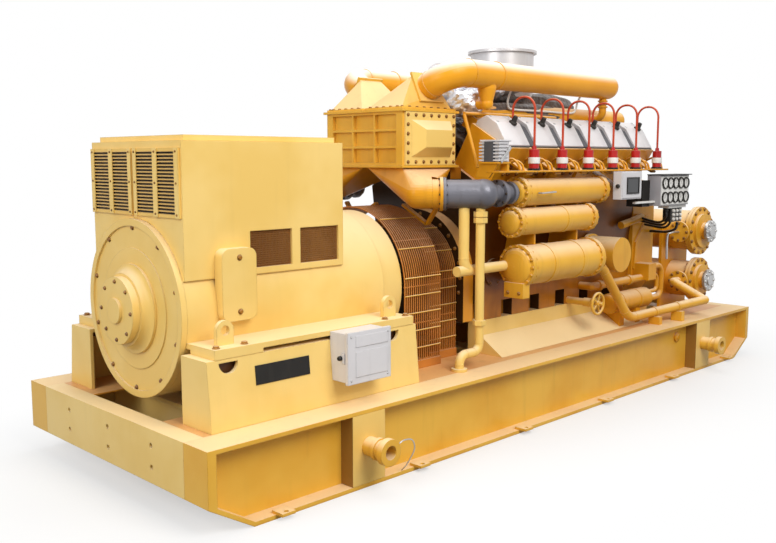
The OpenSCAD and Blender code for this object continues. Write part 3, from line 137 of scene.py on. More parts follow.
def aim(obj, target):
    # turns -Z of the lamp to the target
    d = np.array(target) - np.array(obj.location)
    flat = math.hypot(d[0], d[1])
    obj.rotation_euler = (math.atan2(flat, -d[2]), 0, math.atan2(d[0], -d[1]) + math.pi)


def makeCamera():
    cam = bpy.data.cameras.new("photoCamera")
    cam.lens = view["lens"]
    cam.sensor_width = view["sensor"]
    cam.clip_end = view["reach"]
    obj = addObject("photoCamera", cam)
    obj.location = view["place"]
    obj.rotation_euler = (math.radians(90 - view["pitchDown"]), 0, math.radians(-view["yaw"]))
    bpy.context.scene.camera = obj


def makeLights():
    for name in ("key", "left", "top"):
        spec = lights[name]
        lamp = bpy.data.lights.new(name + "Lamp", "AREA")
        lamp.shape = "DISK"
        lamp.size = spec["size"]
        lamp.energy = spec["power"]
        lamp.color = spec["colour"]
        obj = addObject(name + "Lamp", lamp)
        obj.location = spec["place"]
        aim(obj, lights["target"])


def seenDirectly(tree):
    # 1 for camera, glossy and transmission rays: they see plain white
    rays = node(tree, "LightPath").outputs
    seen = mathNode(tree, "MAXIMUM", rays["Is Camera Ray"], rays["Is Glossy Ray"])
    return mathNode(tree, "MAXIMUM", seen, rays["Is Transmission Ray"])


def mixShaders(tree, factor, first, second, output):
    mix = node(tree, "MixShader", {0: factor, 1: first.outputs[0], 2: second.outputs[0]})
    node(tree, output, {0: mix.outputs[0]})


def makeWorld():
    world = bpy.data.worlds.new("studio")
    tree = clearTree(world)
    ambient = node(tree, "Background", {"Color": lights["sky"] + (1,), "Strength": lights["ambient"]})
    white = node(tree, "Background", {"Color": (1, 1, 1, 1)})
    mixShaders(tree, seenDirectly(tree), ambient, white, "OutputWorld")
    bpy.context.scene.world = world


def makeFloor():
    # a sheet: pale where it is looked at, duller where it lights the skid, white away from the skid
    h = floorLook["half"]
    mesh = bpy.data.meshes.new("studioFloor")
    mesh.from_pydata([(-h, -h, 0), (h, -h, 0), (h, h, 0), (-h, h, 0)], [], [(0, 1, 2, 3)])
    mat = bpy.data.materials.new("studioFloor")
    tree = clearTree(mat)
    seen = seenDirectly(tree)
    dull, pale = ((floorLook[tone],) * 3 + (1,) for tone in ("bounce", "shade"))
    lit = node(tree, "BsdfDiffuse", {"Color": mixColour(tree, seen, dull, pale)})
    glow = node(tree, "Emission", {"Color": (1, 1, 1, 1)})
    place = stretched(tree, objectPoint(tree), floorLook["stretch"])
    far = node(tree, "VectorMath", {0: place}, operation="LENGTH").outputs["Value"]
    fade = rampNode(tree, far, *floorLook["fade"], start=1 - floorLook["shadow"])
    mixShaders(tree, times(tree, seen, fade), lit, glow, "OutputMaterial")
    mesh.materials.append(mat)
    addObject("studioFloor", mesh)


makeCamera()
makeLights()
makeWorld()
makeFloor()
bpy.context.scene.view_settings.view_transform = "Standard"
print("camera, lights and floor set")


# Shared surface effects
def newGroup(name, colours, values, results):
    # colours and values go in, and results gives each output's kind
    group = bpy.data.node_groups.new(name, "ShaderNodeTree")
    kinds = {label: "Color" for label in colours} | {label: "Float" for label in values}
    for way, sockets in (("INPUT", kinds), ("OUTPUT", results)):
        for label, kind in sockets.items():
            group.interface.new_socket(label, in_out=way, socket_type="NodeSocket" + kind)
    return group, group.nodes.new("NodeGroupInput").outputs, group.nodes.new("NodeGroupOutput").inputs


# Wear on painted metal, with painted highlight on what faces up and painted shade on what faces down: noise
# as scale, detail and roughness, ramps from and to, shares, a bevel in metres
wear = {"driftScale": 2.3, "fineDetail": 2.0, "drift": (0.35, 0.68), "speckNoise": (34.0, 4.0, 0.7),
        "speck": (0.52, 0.75), "dustAndHighlightUp": (0.15, 0.95), "streakSize": (9.0, 9.0, 0.9),
        "streakNoise": (1.6, 4.0, 0.62), "streak": (0.52, 0.74), "streakShare": 0.35, "below": (0.2, -0.9),
        "belowShare": 0.9, "bevel": 0.007, "edge": (0.03, 0.25), "fineRough": 0.16, "dustAndHighlightRough": 0.4,
        "leastRough": 0.24, "gloss": 0.22}
# the dust inputs also carry painted highlight, and the grime inputs painted shade
paintColours = ("Base", "Drift", "DustAndHighlight", "GrimeAndShade")
paintShares = ("DustAndHighlight Amount", "GrimeAndShade Amount", "Edge Amount", "Grain")


def makePaintedGroup():
    # painted metal: slow colour drift, dust and painted highlight on what faces up, grime in streaks, grime
    # and painted shade below, worn edges
    group, given, out = newGroup("paintedSurface", paintColours, paintShares, {
        "Color": "Color", "Roughness": "Float", "Height": "Float", "Normal": "Vector"})
    coord = objectPoint(group)
    normal = node(group, "NewGeometry").outputs["Normal"]
    upward = node(group, "SeparateXYZ", {0: normal}).outputs["Z"]
    drift = rampNode(group, noiseAt(group, coord, wear["driftScale"]), *wear["drift"])
    colour = mixColour(group, drift, given["Base"], given["Drift"])
    fine = noiseAt(group, coord, given["Grain"], wear["fineDetail"])
    speckle = rampNode(group, noiseAt(group, coord, *wear["speckNoise"]), *wear["speck"])
    # dust and painted highlight: paler on what faces up
    dustAndHighlight = times(group, rampNode(group, upward, *wear["dustAndHighlightUp"]), given["DustAndHighlight Amount"])
    colour = mixColour(group, dustAndHighlight, colour, given["DustAndHighlight"])
    # streaks: noise stretched downwards
    tall = stretched(group, coord, wear["streakSize"])
    streak = rampNode(group, noiseAt(group, tall, *wear["streakNoise"]), *wear["streak"])
    # grime and painted shade: darker on what faces down
    below = rampNode(group, upward, *wear["below"])
    dirtAndShade = mathNode(group, "ADD", times(group, streak, wear["streakShare"]),
                     times(group, below, wear["belowShare"]))
    colour = mixColour(group, times(group, dirtAndShade, given["GrimeAndShade Amount"]), colour, given["GrimeAndShade"])
    # edges: where the rounded normal leaves the flat one
    bevel = node(group, "Bevel", {"Radius": wear["bevel"]}, samples=4).outputs[0]
    dot = node(group, "VectorMath", {0: bevel, 1: normal}, operation="DOT_PRODUCT").outputs["Value"]
    edge = rampNode(group, mathNode(group, "SUBTRACT", 1.0, dot), *wear["edge"])
    worn = times(group, times(group, edge, speckle), given["Edge Amount"])
    colour = mixColour(group, worn, colour, given["GrimeAndShade"])
    rough = mathNode(group, "ADD", times(group, fine, wear["fineRough"]),
                     times(group, dustAndHighlight, wear["dustAndHighlightRough"]))
    rough = mathNode(group, "ADD", rough, wear["leastRough"])
    for label, value in (("Color", colour), ("Roughness", rough), ("Height", fine), ("Normal", bevel)):
        group.links.new(value, out[label])
    return group


# Crumpled sheet: cell sizes with their shares, and stains
crumple = {"cells": ((1.0, 0.55), (2.3, 0.3), (5.1, 0.15)), "stainNoise": (6.0, 5.0, 0.65),
           "stain": (0.45, 0.72), "stainRough": 0.3, "leastRough": 0.28}


def makeCrumpleGroup():
    # crumpled sheet: three sizes of facets from Voronoi cells as a height, and stains as a shade
    group, given, out = newGroup("crumpledSheet", ("Light", "Dark"), ("Size",), {
        "Color": "Color", "Height": "Float", "Roughness": "Float"})
    coord = objectPoint(group)
    total = 0.0
    for factor, weight in crumple["cells"]:
        size = times(group, given["Size"], factor, clamp=False)
        cell = node(group, "TexVoronoi", {"Vector": coord, "Scale": size}, feature="F1").outputs["Distance"]
        total = mathNode(group, "ADD", total, times(group, cell, weight))
    stain = rampNode(group, noiseAt(group, coord, *crumple["stainNoise"]), *crumple["stain"])
    rough = mathNode(group, "ADD", times(group, stain, crumple["stainRough"]), crumple["leastRough"])
    colour = mixColour(group, stain, given["Light"], given["Dark"])
    for label, value in (("Color", colour), ("Height", total), ("Roughness", rough)):
        group.links.new(value, out[label])
    return group


paintedGroup = makePaintedGroup()
crumpleGroup = makeCrumpleGroup()
print("surface groups made")


def startMaterial(name, group):
    # a Principled material that takes its colour and roughness from a group
    mat = bpy.data.materials.new(name)
    tree = clearTree(mat)
    surface = node(tree, "Group", node_tree=group)
    given = {"Base Color": surface.outputs["Color"], "Roughness": surface.outputs["Roughness"]}
    shader = node(tree, "BsdfPrincipled", given)
    node(tree, "OutputMaterial", {0: shader.outputs[0]})
    return mat, tree, shader, surface


def addBump(tree, shader, surface, distance):
    given = {"Distance": distance, "Strength": 1.0, "Height": surface.outputs["Height"]}
    if "Normal" in surface.outputs:
        given["Normal"] = surface.outputs["Normal"]
    feed(tree, node(tree, "Bump", given).outputs[0], shader.inputs["Normal"])


def painted(name, base, drift, dustAndHighlightColour=(255, 236, 204), grimeAndShadeColour=(70, 42, 20), dustAndHighlight=0.3, grimeAndShade=0.25, worn=0.35,
            grain=70.0, bump=0.0004, metallic=0.0, coat=0.0):
    mat, tree, shader, surface = startMaterial(name, paintedGroup)
    colours = [linear(*colour) for colour in (base, drift, dustAndHighlightColour, grimeAndShadeColour)]
    for label, value in zip(paintColours + paintShares, (*colours, dustAndHighlight, grimeAndShade, worn, grain)):
        surface.inputs[label].default_value = value
    for label, value in (("Metallic", metallic), ("Coat Weight", coat),
                         ("Specular IOR Level", wear["gloss"])):
        shader.inputs[label].default_value = value
    addBump(tree, shader, surface, bump)
    return mat


def foil(name, light, dark, size, depth, metallic):
    mat, tree, shader, surface = startMaterial(name, crumpleGroup)
    for label, value in (("Size", size), ("Light", linear(*light)), ("Dark", linear(*dark))):
        surface.inputs[label].default_value = value
    shader.inputs["Metallic"].default_value = metallic
    addBump(tree, shader, surface, depth)
    return mat


def masked(mat, mask, pick):
    # puts other colours into a painted material where the masks are 1
    tree = mat.node_tree
    surface = next(item for item in tree.nodes if item.type == "GROUP")
    at = node(tree, "SeparateXYZ", {0: objectPoint(tree)}).outputs
    facing = node(tree, "SeparateXYZ", {0: node(tree, "NewGeometry").outputs["Normal"]}).outputs
    for label in ("Base", "Drift"):
        colour = surface.inputs[label].default_value[:]
        for tint, amount in mask(tree, at, facing, pick):
            colour = mixColour(tree, amount, colour, linear(*tint))
        tree.links.new(colour, surface.inputs[label])


def within(tree, value, middle, reach):
    # 1 where the value lies within reach of the middle
    away = mathNode(tree, "ABSOLUTE", mathNode(tree, "SUBTRACT", value, middle, clamp=False))
    return mathNode(tree, "LESS_THAN", away, reach)


# Louvre panels: two columns of slats in each, in painted frames, with painted shade on the slots' sides;
# metres
louvre = {"slat": (222, 178, 96), "slot": (48, 30, 16), "middle": 0.205, "bar": 0.007, "reach": 0.181,
          "centreZ": 1.452, "halfZ": 0.142, "front": -0.9}


def louvreMask(tree, at, facing, pick):
    side = mathNode(tree, "ABSOLUTE", at["Y"])
    column = mathNode(tree, "SUBTRACT", within(tree, side, pick["middle"], pick["reach"]),
                      within(tree, side, pick["middle"], pick["bar"]))
    inside = times(tree, column, within(tree, at["Z"], pick["centreZ"], pick["halfZ"]))
    deep = mathNode(tree, "GREATER_THAN", facing["X"], pick["front"])
    return (pick["slat"], inside), (pick["slot"], times(tree, inside, deep))


# Painted shade on faces towards the generator: dark on the housing and block, behind the coupling, and
# lighter on the ports
shade = {"dark": (58, 38, 18), "front": -0.8}
portShade = {"dark": (150, 110, 50), "front": -0.8}


def frontMask(tree, at, facing, pick):
    return ((pick["dark"], mathNode(tree, "LESS_THAN", facing["X"], pick["front"])),)


# Block: an oil stain with painted shade on the operator's side, behind the vessels, that fades out at both
# edges; metres
oilAndShade = {"dark": shade["dark"], "front": shade["front"], "stain": (92, 48, 14), "side": -0.300,
        "centreZ": 1.020, "halfZ": 0.290, "fade": 9.0, "share": 0.9}


def oilAndShadeMask(tree, at, facing, pick):
    away = mathNode(tree, "ABSOLUTE", mathNode(tree, "SUBTRACT", at["Z"], pick["centreZ"], clamp=False))
    edge = times(tree, mathNode(tree, "SUBTRACT", pick["halfZ"], away), pick["fade"])
    side = times(tree, mathNode(tree, "LESS_THAN", at["Y"], pick["side"]), pick["share"])
    return (*frontMask(tree, at, facing, pick), (pick["stain"], times(tree, edge, side)))


# Stack: plain pale sheet above the drums, dark lagging below, soot inside the mouth; metres
stack = {"sheet": (206, 204, 206), "soot": (52, 46, 42), "lagged": (74, 62, 54), "from": 1.966,
         "axisX": 0.390, "inside": 0.206}


def stackMask(tree, at, facing, pick):
    lower = mathNode(tree, "LESS_THAN", at["Z"], pick["from"])
    alongX = mathNode(tree, "SUBTRACT", at["X"], pick["axisX"], clamp=False)
    square = mathNode(tree, "ADD", times(tree, alongX, alongX, clamp=False),
                      times(tree, at["Y"], at["Y"], clamp=False), clamp=False)
    mouth = mathNode(tree, "LESS_THAN", square, pick["inside"] ** 2)
    return (pick["lagged"], lower), (pick["soot"], mouth)


# Paints: colour, drift colour and what differs from the plain coat; sRGB and shares
paints = {
    "enamel": ((233, 182, 70), (224, 166, 54), dict(dustAndHighlight=0.55, grimeAndShade=0.2)),
    # a lit copy of the yellow enamel: painted light
    "enamelPaintedLit": ((241, 207, 126), (234, 196, 108), dict(dustAndHighlight=0.5, grimeAndShade=0.07)),
    # a shaded copy of the yellow enamel: painted shade
    "enamelDeep": ((228, 162, 34), (212, 142, 24), dict(dustAndHighlight=0.5, grimeAndShade=0.4, grimeAndShadeColour=(60, 34, 14))),
    "deckPaint": ((226, 156, 50), (216, 140, 36), dict(dustAndHighlight=0.25, grimeAndShade=0.3)),
    # charge pipes: deep enamel with dust and a strong painted highlight on top
    "pipePaint": ((234, 162, 34), (226, 152, 28), dict(dustAndHighlightColour=(255, 246, 232), dustAndHighlight=0.9, grimeAndShade=0.1)),
    "vesselPaint": ((234, 178, 58), (223, 160, 44), dict(dustAndHighlight=0.65, grimeAndShade=0.3, grimeAndShadeColour=(70, 40, 14))),
    # the block: a darker copy of the enamel, for oil and painted shade
    "oilAndShadePaint": ((192, 122, 26), (140, 84, 20), dict(grimeAndShadeColour=(46, 26, 10), dustAndHighlight=0.3, grimeAndShade=0.6, worn=0.5)),
    "housingPaint": ((220, 152, 40), (196, 126, 30), dict(grimeAndShadeColour=(46, 26, 10), grimeAndShade=0.6)),
    "silver": ((219, 216, 217), (206, 203, 203), dict(dustAndHighlightColour=(240, 238, 236), dustAndHighlight=0.3, grimeAndShade=0.2,
                                                      metallic=0.2, grain=40.0)),
    "bareMetal": ((200, 200, 200), (178, 178, 178), dict(dustAndHighlight=0.1, grimeAndShade=0.3, metallic=0.8, grain=90.0)),
    "stackSheet": (stack["sheet"], (190, 186, 184), dict(dustAndHighlightColour=(236, 234, 232), dustAndHighlight=0.2, grimeAndShadeColour=(70, 56, 46),
                                                         grimeAndShade=0.35, metallic=0.4)),
    "darkSteel": ((62, 54, 46), (44, 38, 32), dict(dustAndHighlightColour=(120, 96, 60), dustAndHighlight=0.35, metallic=0.4)),
    "coilRed": ((186, 30, 28), (160, 22, 22), dict(grimeAndShade=0.15, worn=0.1, dustAndHighlight=0.1, coat=0.3)),
    "leadOrange": ((196, 72, 40), (176, 56, 30), dict(grimeAndShade=0.25, worn=0.0, dustAndHighlight=0.2)),
    "greyCast": ((118, 118, 126), (94, 94, 102), dict(dustAndHighlightColour=(166, 164, 168), grimeAndShadeColour=(48, 40, 34), grain=120.0,
                                                      bump=0.001, metallic=0.3, grimeAndShade=0.5)),
    "paleBox": ((216, 214, 216), (204, 202, 204), dict(dustAndHighlightColour=(232, 230, 226), grimeAndShade=0.15, dustAndHighlight=0.2)),
    "panelGrey": ((176, 174, 178), (160, 158, 162), dict(dustAndHighlightColour=(214, 212, 210), grimeAndShade=0.3, dustAndHighlight=0.2)),
    "panelDark": ((86, 86, 90), (70, 70, 74), dict(dustAndHighlightColour=(120, 120, 120), dustAndHighlight=0.1, grimeAndShade=0.1, worn=0.0)),
    "blackPlate": ((34, 32, 30), (26, 24, 22), dict(dustAndHighlightColour=(90, 84, 74), dustAndHighlight=0.2, grimeAndShadeColour=(120, 110, 96),
                                                    grimeAndShade=0.12)),
    "guardWire": ((214, 138, 60), (172, 104, 44), dict(grimeAndShadeColour=(46, 26, 14), grimeAndShade=0.3, worn=0.2, dustAndHighlight=0.25)),
    "grille": ((186, 128, 66), (160, 104, 50), dict(grimeAndShadeColour=(60, 36, 18), grimeAndShade=0.3)),
    "grilleShade": ((84, 52, 28), (64, 38, 20), dict(dustAndHighlight=0.1, worn=0.0)),
    "portPaint": ((240, 202, 116), (232, 190, 98), dict(dustAndHighlight=0.4, grimeAndShade=0.1)),
    "louvre": ((236, 196, 106), (228, 184, 92), dict(grimeAndShade=0.15)),
    # bolts: a darker copy of the enamel as painted shade, with wear
    "boltShadedPaint": ((176, 120, 40), (130, 82, 28), dict(grimeAndShade=0.5, worn=0.5, dustAndHighlight=0.3)),
    "dialWhite": ((232, 230, 226), (222, 220, 214), dict(grimeAndShade=0.08, worn=0.0)),
    "rubber": ((38, 36, 34), (28, 26, 24), dict(dustAndHighlightColour=(96, 88, 76), dustAndHighlight=0.25, worn=0.0)),
    "darkGlass": ((30, 32, 36), (22, 24, 28), dict(dustAndHighlightColour=(70, 72, 76), dustAndHighlight=0.1, grimeAndShade=0.05, worn=0.0,
                                                   bump=0.0001, coat=0.6)),
}
look = {name: painted(name, base, drift, **rest) for name, (base, drift, rest) in paints.items()}
look["foil"] = foil("foil", (232, 232, 236), (128, 132, 146), 10.0, 0.02, 0.85)
look["lagging"] = foil("lagging", (104, 92, 84), (46, 40, 38), 16.0, 0.012, 0.2)
masked(look["oilAndShadePaint"], oilAndShadeMask, oilAndShade)
masked(look["housingPaint"], frontMask, shade)
masked(look["stackSheet"], stackMask, stack)
masked(look["portPaint"], frontMask, portShade)
masked(look["louvre"], louvreMask, louvre)
slotLook = {"enamel": "enamel", "silver_paint": "silver", "foil_wrap": "foil", "dark_lagging": "lagging",
            "dark_steel": "darkSteel", "coil_red": "coilRed", "lead_orange": "leadOrange",
            "grey_casting": "greyCast", "pale_box": "paleBox", "black_plate": "blackPlate",
            "guard_wire": "guardWire", "grille": "grille"}
nodesOf = {
    "enamelPaintedLit": ("air_hood", "air_hood_lid", "generator_end_plate", "bearing_cover", "generator_pedestal",
                   "engine_bed", "terminal_covers", "charge_cooler_covers", "generator_frame", "gas_riser",
                   "cross_members"),
    "enamelDeep": ("cylinder_heads", "intake_manifolds", "gear_case", "coil_rails", "charge_plenum",
                   "charge_duct", "lube_line", "vessel_cradles", "priming_pump", "cooler_stand"),
    "vesselPaint": ("upper_vessel", "filter_vessel", "oil_cooler", "oil_centrifuge", "water_coolers",
                    "cooler_pipe"),
    "bareMetal": ("cooler_blanks",), "pipePaint": ("charge_pipes",), "oilAndShadePaint": ("crankcase",),
    "housingPaint": ("flywheel_housing",), "deckPaint": ("deck_plates",), "louvre": ("louvre_panels",),
    "stackSheet": ("exhaust_stack",), "panelGrey": ("gauge_panel",), "portPaint": ("water_port_boxes",),
}
ownLook = {name: material for material, names in nodesOf.items() for name in names}
pieceSlot = {material: slot for slot, material in slotLook.items()}
pieceSlot |= {"darkGlass": "black_plate", "dialWhite": "pale_box", "bareMetal": "silver_paint",
              "rubber": "dark_steel"}


def paintNodes():
    for name, obj in nodes.items():
        obj.data.materials.clear()
        obj.data.materials.append(look[ownLook.get(name, slotLook[slotOf[name]])])


paintNodes()
print("nodes painted")


# Mesh helpers: every shape is worked out as whole arrays
def ringFaces(rows, sides):
    # quads between neighbouring rings of a stack, and a flat cap on each end
    r, c = np.meshgrid(np.arange(rows - 1), np.arange(sides), indexing="ij")
    c2, last = (c + 1) % sides, (rows - 1) * sides
    quads = [r * sides + c, r * sides + c2, (r + 1) * sides + c2, (r + 1) * sides + c]
    caps = [list(range(sides))[::-1], list(range(last, last + sides))]
    return np.stack(quads, -1).reshape(-1, 4).tolist() + caps


def revolved(profile, sides):
    # (radius, height) points turned about Z: x = r cos a, y = r sin a, z = h
    profile = np.array(profile, float)
    a = np.arange(sides) * 2 * math.pi / sides
    ring = np.stack([np.cos(a), np.sin(a)], -1)
    xy = profile[:, None, :1] * ring[None]
    z = np.broadcast_to(profile[:, None, 1:], xy.shape[:2] + (1,))
    return np.concatenate([xy, z], -1).reshape(-1, 3), ringFaces(len(profile), sides)


def unit(v):
    # each row divided by its length
    return v / np.linalg.norm(v, axis=1, keepdims=True)


def block(low, high):
    # the eight corners of a box and its six faces, facing out
    low, high = np.array(low, float), np.array(high, float)
    pick = np.array([[0, 0, 0], [1, 0, 0], [1, 1, 0], [0, 1, 0], [0, 0, 1], [1, 0, 1], [1, 1, 1], [0, 1, 1]])
    faces = [[3, 2, 1, 0], [4, 5, 6, 7], [0, 1, 5, 4], [1, 2, 6, 5], [2, 3, 7, 6], [3, 0, 4, 7]]
    return low + pick * (high - low), faces


def joined(shapes):
    # several shapes as one list of points and faces
    start = np.cumsum([0] + [len(p) for p, _ in shapes])
    points = np.concatenate([p for p, _ in shapes])
    return points, [[i + int(s) for i in f] for s, (_, faces) in zip(start, shapes) for f in faces]


def turned(axes):
    # for each axis, a turn that carries Z onto it
    w = unit(np.array(axes, float).reshape(-1, 3))
    flat = np.where(np.abs(w[:, 2:]) > 0.9, [[1.0, 0, 0]], [[0, 0, 1.0]])
    u = unit(np.cross(flat, w))
    return np.stack([u, np.cross(w, u), w], -1)


def placed(shape, centres, axes):
    # copies of a shape, its Z along each axis and its origin at each centre
    points, faces = shape
    centres = np.array(centres, float).reshape(-1, 3)
    turns = turned(np.broadcast_to(np.array(axes, float).reshape(-1, 3), centres.shape))
    moved = np.einsum("mij,nj->mni", turns, points) + centres[:, None]
    count = len(points)
    return moved.reshape(-1, 3), [[i + k * count for i in f] for k in range(len(centres)) for f in faces]


def ringPlaces(centre, axis, radius, count, phase=0.0):
    # points on a circle round the axis: centre + r (u cos a + v sin a)
    a = phase + np.arange(count) * 2 * math.pi / count
    u, v = turned([axis])[0][:, 0], turned([axis])[0][:, 1]
    return np.array(centre) + radius * (np.cos(a)[:, None] * u + np.sin(a)[:, None] * v)


def rowPlaces(start, end, count):
    # evenly spaced points: start (1 - t) + end t
    t = np.linspace(0, 1, count)[:, None]
    return np.array(start) * (1 - t) + np.array(end) * t


def smoothPath(points, count):
    # a curve through the points: cubic Hermite pieces with neighbour differences as tangents
    p = np.array(points, float)
    m = np.gradient(p, axis=0)
    t = np.linspace(0, len(p) - 1, count)
    i = np.minimum(t.astype(int), len(p) - 2)
    s = (t - i)[:, None]
    return ((2 * s**3 - 3 * s**2 + 1) * p[i] + (s**3 - 2 * s**2 + s) * m[i]
            + (3 * s**2 - 2 * s**3) * p[i + 1] + (s**3 - s**2) * m[i + 1])


def tube(path, radius, sides=8):
    # a circle carried along a path: point + r (n cos a + b sin a)
    path = np.array(path, float)
    t = unit(np.gradient(path, axis=0))
    fixed = np.eye(3)[np.argmin(np.abs(t).max(axis=0))]
    n = unit(np.cross(t, fixed))
    b = np.cross(t, n)
    a = np.arange(sides) * 2 * math.pi / sides
    ring = np.cos(a)[None, :, None] * n[:, None] + np.sin(a)[None, :, None] * b[:, None]
    return (path[:, None] + radius * ring).reshape(-1, 3), ringFaces(len(path), sides)


def ribbon(path, across, width, thick):
    # a flat strap: a rectangle carried along a path, wide along the fixed direction across
    path = np.array(path, float)
    t = unit(np.gradient(path, axis=0))
    w = np.array(across, float)
    n = unit(np.cross(t, w))
    corner = np.array([[-1, -1], [1, -1], [1, 1], [-1, 1]]) / 2
    points = path[:, None] + corner[None, :, :1] * width * w + corner[None, :, 1:] * thick * n[:, None]
    return points.reshape(-1, 3), ringFaces(len(path), len(corner))


def mirrored(shape):
    # the same shape with its other side at +Y, faces turned to point outwards
    points, faces = shape
    return joined([shape, (points * [1, -1, 1], [f[::-1] for f in faces])])


creaseAngle = math.radians(35)     # sharper edges than this stay hard


def addPiece(name, shape, material, slot=None):
    points, faces = shape
    mesh = bpy.data.meshes.new(name)
    mesh.from_pydata(points.tolist(), [], faces)
    mesh.polygons.foreach_set("use_smooth", np.ones(len(mesh.polygons), bool))
    mesh.set_sharp_from_angle(angle=creaseAngle)
    mesh.materials.append(look[material])
    obj = addObject(name, mesh)
    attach(obj, "root")
    return obj


def addPair(name, shapes, material, slot=None):
    # the shapes as one piece with its mirror image at +Y
    return addPiece(name, mirrored(joined(shapes)), material, slot)


def corners(name):
    low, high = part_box(name)
    return np.array(low), np.array(high)


# Bolts: a washer under a six-sided head with a bevelled top; radii and heights as shares of the size
boltForm = {"head": [(1.0, 0), (1.0, 0.75), (0.82, 0.92)], "washer": [(1.3, 0), (1.3, 0.22)],
            "washerSides": 10}


def hexBolt(size):
    head = revolved(np.array(boltForm["head"]) * size, 6)
    return joined([revolved(np.array(boltForm["washer"]) * size, boltForm["washerSides"]), head])


def hexBolts(size, centres, axes):
    return placed(hexBolt(size), centres, axes)


plateLow, plateHigh = corners("generator_end_plate")
shaftZ = float(plateLow[2] + plateHigh[2]) / 2
left, near, ahead, up, down = (-1, 0, 0), (0, -1, 0), (1, 0, 0), (0, 0, 1), (0, 0, -1)

# Cylinders along each bank, metres, and the bank's lean in degrees
bank = {"cylinders": 6, "pitch": 0.288, "half": 0.111, "lean": 30}


def cylinderX():
    # the middle of each valve cover along X
    first = corners("valve_covers")[0][0] + bank["half"]
    return first + bank["pitch"] * np.arange(bank["cylinders"])


# Bolts by family: head size, count, distance in from the rim, and where they sit; metres
boltRows = {
    "endPlate": {"size": 0.0095, "count": 10, "inset": 0.043, "sunk": 0.010, "phase": 0.3},
    "boss": {"size": 0.008, "count": 8, "inset": 0.022, "sunk": 0.014, "radius": 0.160},
    "cover": {"size": 0.0085, "along": 7, "up": 4, "inset": 0.018, "sunk": 0.002, "rimUp": 0.012,
              "rimIn": 0.028, "rimEnds": 0.03, "rimAlong": 8, "rimX": 0.026, "rimY": (-0.27, -0.05),
              "rimAcross": 5},
    "vessel": {"size": 0.009, "count": 14, "inset": 0.008, "ends": (0.026, 0.026), "flange": 0.037},
    "oil": {"size": 0.0095, "count": 16, "inset": 0.009, "ends": (0.026, 0.040), "flange": 0.037},
    "waterEnd": {"size": 0.012, "count": 14, "inset": 0.015, "rims": (0.172, 0.187), "sunk": 0.094,
                 "flange": 0.046},
    "blank": {"size": 0.010, "count": 8, "inset": 0.014, "radius": 0.084, "sunk": 0.010},
    "nozzle": {"size": 0.009, "count": 8, "inset": 0.014, "radius": 0.080, "out": 0.044, "y": -0.528,
               "flange": 0.016},
    "mixer": {"size": 0.006, "count": 10, "mouth": (-0.7512, -0.4888, 1.365), "ring": 0.088, "deep": 0.018,
              "disc": (-0.470, -0.650, 1.365), "discRing": 0.068, "discCount": 8},
    "door": {"size": 0.008, "count": 6, "inset": 0.014, "radius": 0.085, "y": -0.444, "z": 0.873},
    "housing": {"size": 0.010, "count": 26, "inset": 0.026, "below": 0.2},
}


def boltRing(family, centre, axis, radius, phase=0.0):
    # a family's ring of bolts, set in from the radius
    spec = boltRows[family]
    places = ringPlaces(centre, axis, radius - spec["inset"], spec["count"], phase)
    return hexBolts(spec["size"], places, axis)


def endPlateBolts():
    plate, boss = boltRows["endPlate"], boltRows["boss"]
    outer = (plateLow[0] + plate["sunk"], 0, shaftZ)
    inner = (corners("bearing_cover")[0][0] + boss["sunk"], 0, shaftZ)
    shapes = [boltRing("endPlate", outer, left, (plateHigh[2] - plateLow[2]) / 2, plate["phase"]),
              boltRing("boss", inner, left, boss["radius"])]
    addPiece("endPlateBolts", joined(shapes), "boltShadedPaint")


def coverBolts():
    low, high = corners("charge_cooler_covers")
    core = corners("charge_cooler")
    spec = boltRows["cover"]
    y, inset = core[0][1] + spec["sunk"], spec["inset"]
    x0, x1, z0, z1 = low[0] + inset, high[0] - inset, low[2] + inset, high[2] - inset
    places = np.concatenate([rowPlaces((x0, y, z), (x1, y, z), spec["along"]) for z in (z0, z1)]
                            + [rowPlaces((x, y, z0), (x, y, z1), spec["up"] + 2)[1:-1] for x in (x0, x1)])
    top, rimY = corners("charge_hoods")[0][2] + spec["rimUp"], y + spec["rimIn"]
    x0, x1, x2 = core[0][0] + spec["rimEnds"], core[1][0] - spec["rimEnds"], core[0][0] + spec["rimX"]
    rim = np.concatenate([rowPlaces((x0, rimY, top), (x1, rimY, top), spec["rimAlong"]),
                          rowPlaces(*((x2, y, top) for y in spec["rimY"]), spec["rimAcross"])])
    shapes = [hexBolts(spec["size"], places, near), hexBolts(spec["size"], rim, up)]
    addPair("coolerCoverBolts", shapes, "boltShadedPaint")


def vesselBolts():
    shapes = []
    for name, family in (("upper_vessel", "vessel"), ("filter_vessel", "vessel"), ("oil_cooler", "oil")):
        low, high = corners(name)
        middle, spec = (low + high) / 2, boltRows[family]
        x0, x1 = low[0] + spec["ends"][0], high[0] - spec["ends"][1]
        for x, axis in ((x0, left), (x0 + spec["flange"], ahead), (x1 - spec["flange"], left), (x1, ahead)):
            shapes.append(boltRing(family, (x, middle[1], middle[2]), axis, (high[2] - low[2]) / 2))
    addPiece("vesselBolts", joined(shapes), "enamelDeep")


